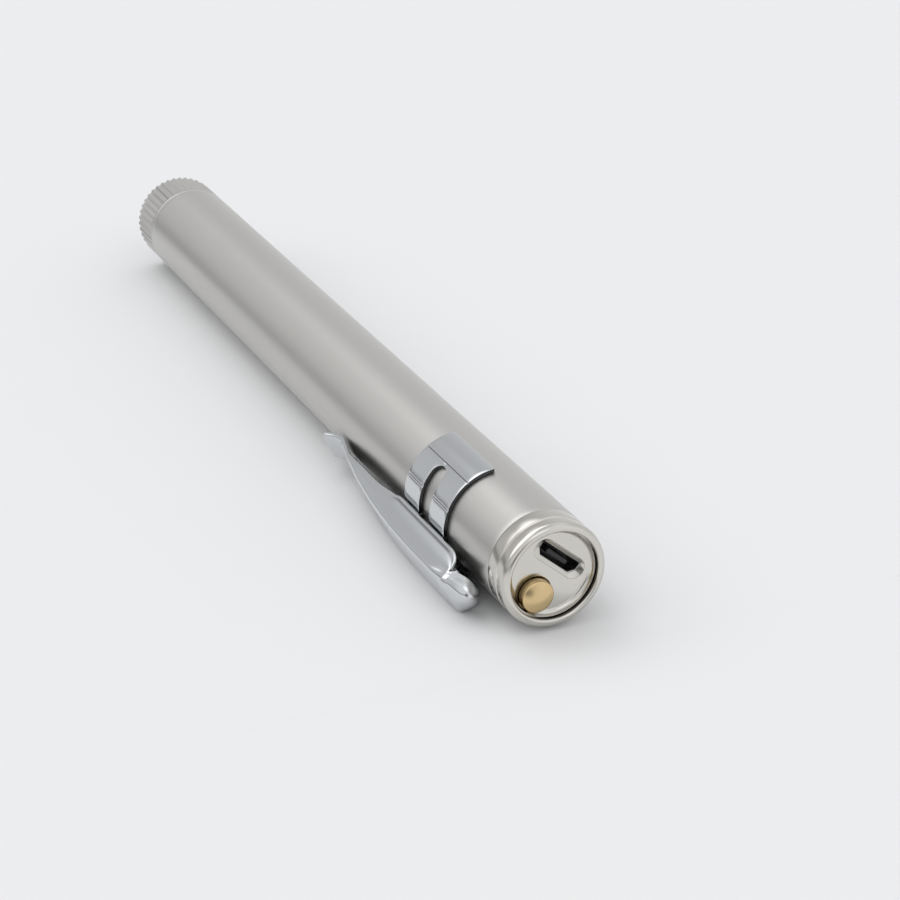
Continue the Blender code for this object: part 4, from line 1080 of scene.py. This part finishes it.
class PENLIGHT_OT_stage(bpy.types.Operator):
    """Make the pale floor, the soft light and the camera"""

    bl_idname = "penlight.stage"
    bl_label = "Studio"

    def execute(self, context):
        look = context.scene.penlight_finishes
        scene = context.scene
        scene.view_settings.view_transform = "Standard"

        camera = bpy.data.objects.new("camera", bpy.data.cameras.new("camera"))
        scene.collection.objects.link(camera)
        camera.data.lens = CAMERA_LENS
        camera.data.sensor_width = CAMERA_SENSOR
        camera.data.clip_start = 0.005
        camera.location = Vector(AXIS + CAMERA_FROM_TAIL)
        camera.rotation_euler = (math.pi / 2 - CAMERA_ELEVATION, 0, CAMERA_AZIMUTH)
        scene.camera = camera

        made, sheet, shader = material("floor finish")
        base = tuple(look.floor)
        grain = sheet.noise(sheet.stretched((1, 1, 1)), 40.0, 3.0)
        sheet.join(sheet.mix(grain, base, tuple(0.995 * c for c in base)), shader.inputs["Base Color"])
        shader.inputs["Roughness"].default_value = 0.9
        shader.inputs["Specular IOR Level"].default_value = 0.1
        low = AXIS + NEAR_FLOOR[0]
        high = AXIS + NEAR_FLOOR[1]
        spans = {"floor": (-FAR_FLOOR, -FAR_FLOOR, FAR_FLOOR, FAR_FLOOR, -FLOOR_STEP)}
        spans["floor_near"] = (low[0], low[1], high[0], high[1], 0.0)
        for name, (west, south, east, north, level) in spans.items():
            mesh = bpy.data.meshes.new(name)
            corners = [(west, south, level), (east, south, level), (east, north, level), (west, north, level)]
            mesh.from_pydata(corners, [], [[0, 1, 2, 3]])
            mesh.materials.append(made)
            floor = bpy.data.objects.new(name, mesh)
            scene.collection.objects.link(floor)
            floor.visible_glossy = level == 0.0

        world = bpy.data.worlds.new("soft studio")
        scene.world = world
        world.use_nodes = True
        sheet = Sheet(world.node_tree)
        back = world.node_tree.nodes["Background"]
        place = sheet.add("ShaderNodeTexCoord")
        split = sheet.add("ShaderNodeSeparateXYZ")
        sheet.join(place.outputs["Generated"], split.inputs[0])
        east, north, up = split.outputs
        total = sheet.math("ADD", sheet.math("MULTIPLY", sheet.step(up, 0.6, 0.8), 0.17), 0.56)
        for side, low, high, glow in ((east, 0.0, 0.6, 0.23), (east, 0.0, -0.6, 0.08), (north, -0.2, -0.7, 0.25)):
            total = sheet.math("ADD", total, sheet.math("MULTIPLY", sheet.step(side, low, high), glow))
        for aim, edge, core, glow in LIGHTS:
            total = sheet.math("ADD", total, sheet.math("MULTIPLY", sheet.lobe(place, aim, edge, core), glow))
        ground = sheet.math("ADD", sheet.math("MULTIPLY", sheet.step(north, 0.1, -0.5), 0.12), 0.84)
        below = sheet.step(up, 0.005, -0.02)
        total = sheet.math("MULTIPLY", total, sheet.math("SUBTRACT", 1.0, below))
        total = sheet.math("ADD", total, sheet.math("MULTIPLY", ground, below))
        level = sheet.math("ABSOLUTE", sheet.math("ADD", up, 0.05))
        strip = sheet.math("MULTIPLY", sheet.step(level, 0.15, 0.0), sheet.step(east, -0.1, -0.35))
        total = sheet.math("SUBTRACT", total, sheet.math("MULTIPLY", strip, 0.54))
        dark = sheet.math("MULTIPLY", sheet.lobe(place, *SHADE), 0.6)
        total = sheet.math("MAXIMUM", sheet.math("SUBTRACT", total, dark), 0.05)
        path = sheet.add("ShaderNodeLightPath")
        shown = path.outputs["Is Camera Ray"]
        total = sheet.math("MULTIPLY", total, sheet.math("SUBTRACT", 1.0, shown))
        strength = sheet.math("ADD", total, sheet.math("MULTIPLY", shown, 0.85))
        back.inputs["Color"].default_value = (0.985, 0.99, 1.0, 1)
        sheet.join(strength, back.inputs["Strength"])
        return {"FINISHED"}


class PENLIGHT_PT_panel(bpy.types.Panel):
    """Shows the sizes, the colours and a button for each step in the sidebar"""

    bl_label = "Penlight"
    bl_idname = "PENLIGHT_PT_panel"
    bl_space_type = "VIEW_3D"
    bl_region_type = "UI"
    bl_category = "Penlight"

    def draw(self, context):
        for group in (context.scene.penlight_sizes, context.scene.penlight_finishes):
            column = self.layout.column(align=True)
            for name in group.__annotations__:
                column.prop(group, name)
        for operator in OPERATORS:
            self.layout.operator(operator.bl_idname)


OPERATORS = (
    PENLIGHT_OT_finishes,
    PENLIGHT_OT_barrel,
    PENLIGHT_OT_tail,
    PENLIGHT_OT_port,
    PENLIGHT_OT_button,
    PENLIGHT_OT_head,
    PENLIGHT_OT_band,
    PENLIGHT_OT_lever,
    PENLIGHT_OT_stage,
)
CLASSES = (PENLIGHT_PG_sizes, PENLIGHT_PG_finishes, *OPERATORS, PENLIGHT_PT_panel)


def register():
    for item in CLASSES:
        bpy.utils.register_class(item)
    bpy.types.Scene.penlight_sizes = PointerProperty(type=PENLIGHT_PG_sizes)
    bpy.types.Scene.penlight_finishes = PointerProperty(type=PENLIGHT_PG_finishes)


def unregister():
    del bpy.types.Scene.penlight_finishes
    del bpy.types.Scene.penlight_sizes
    for item in reversed(CLASSES):
        bpy.utils.unregister_class(item)


def main():
    register()
    bpy.ops.penlight.finishes()
    bpy.ops.penlight.barrel()
    bpy.ops.penlight.tail()
    bpy.ops.penlight.port()
    bpy.ops.penlight.button()
    bpy.ops.penlight.head()
    bpy.ops.penlight.band()
    bpy.ops.penlight.lever()
    bpy.ops.penlight.stage()


if __name__ == "__main__":
    main()
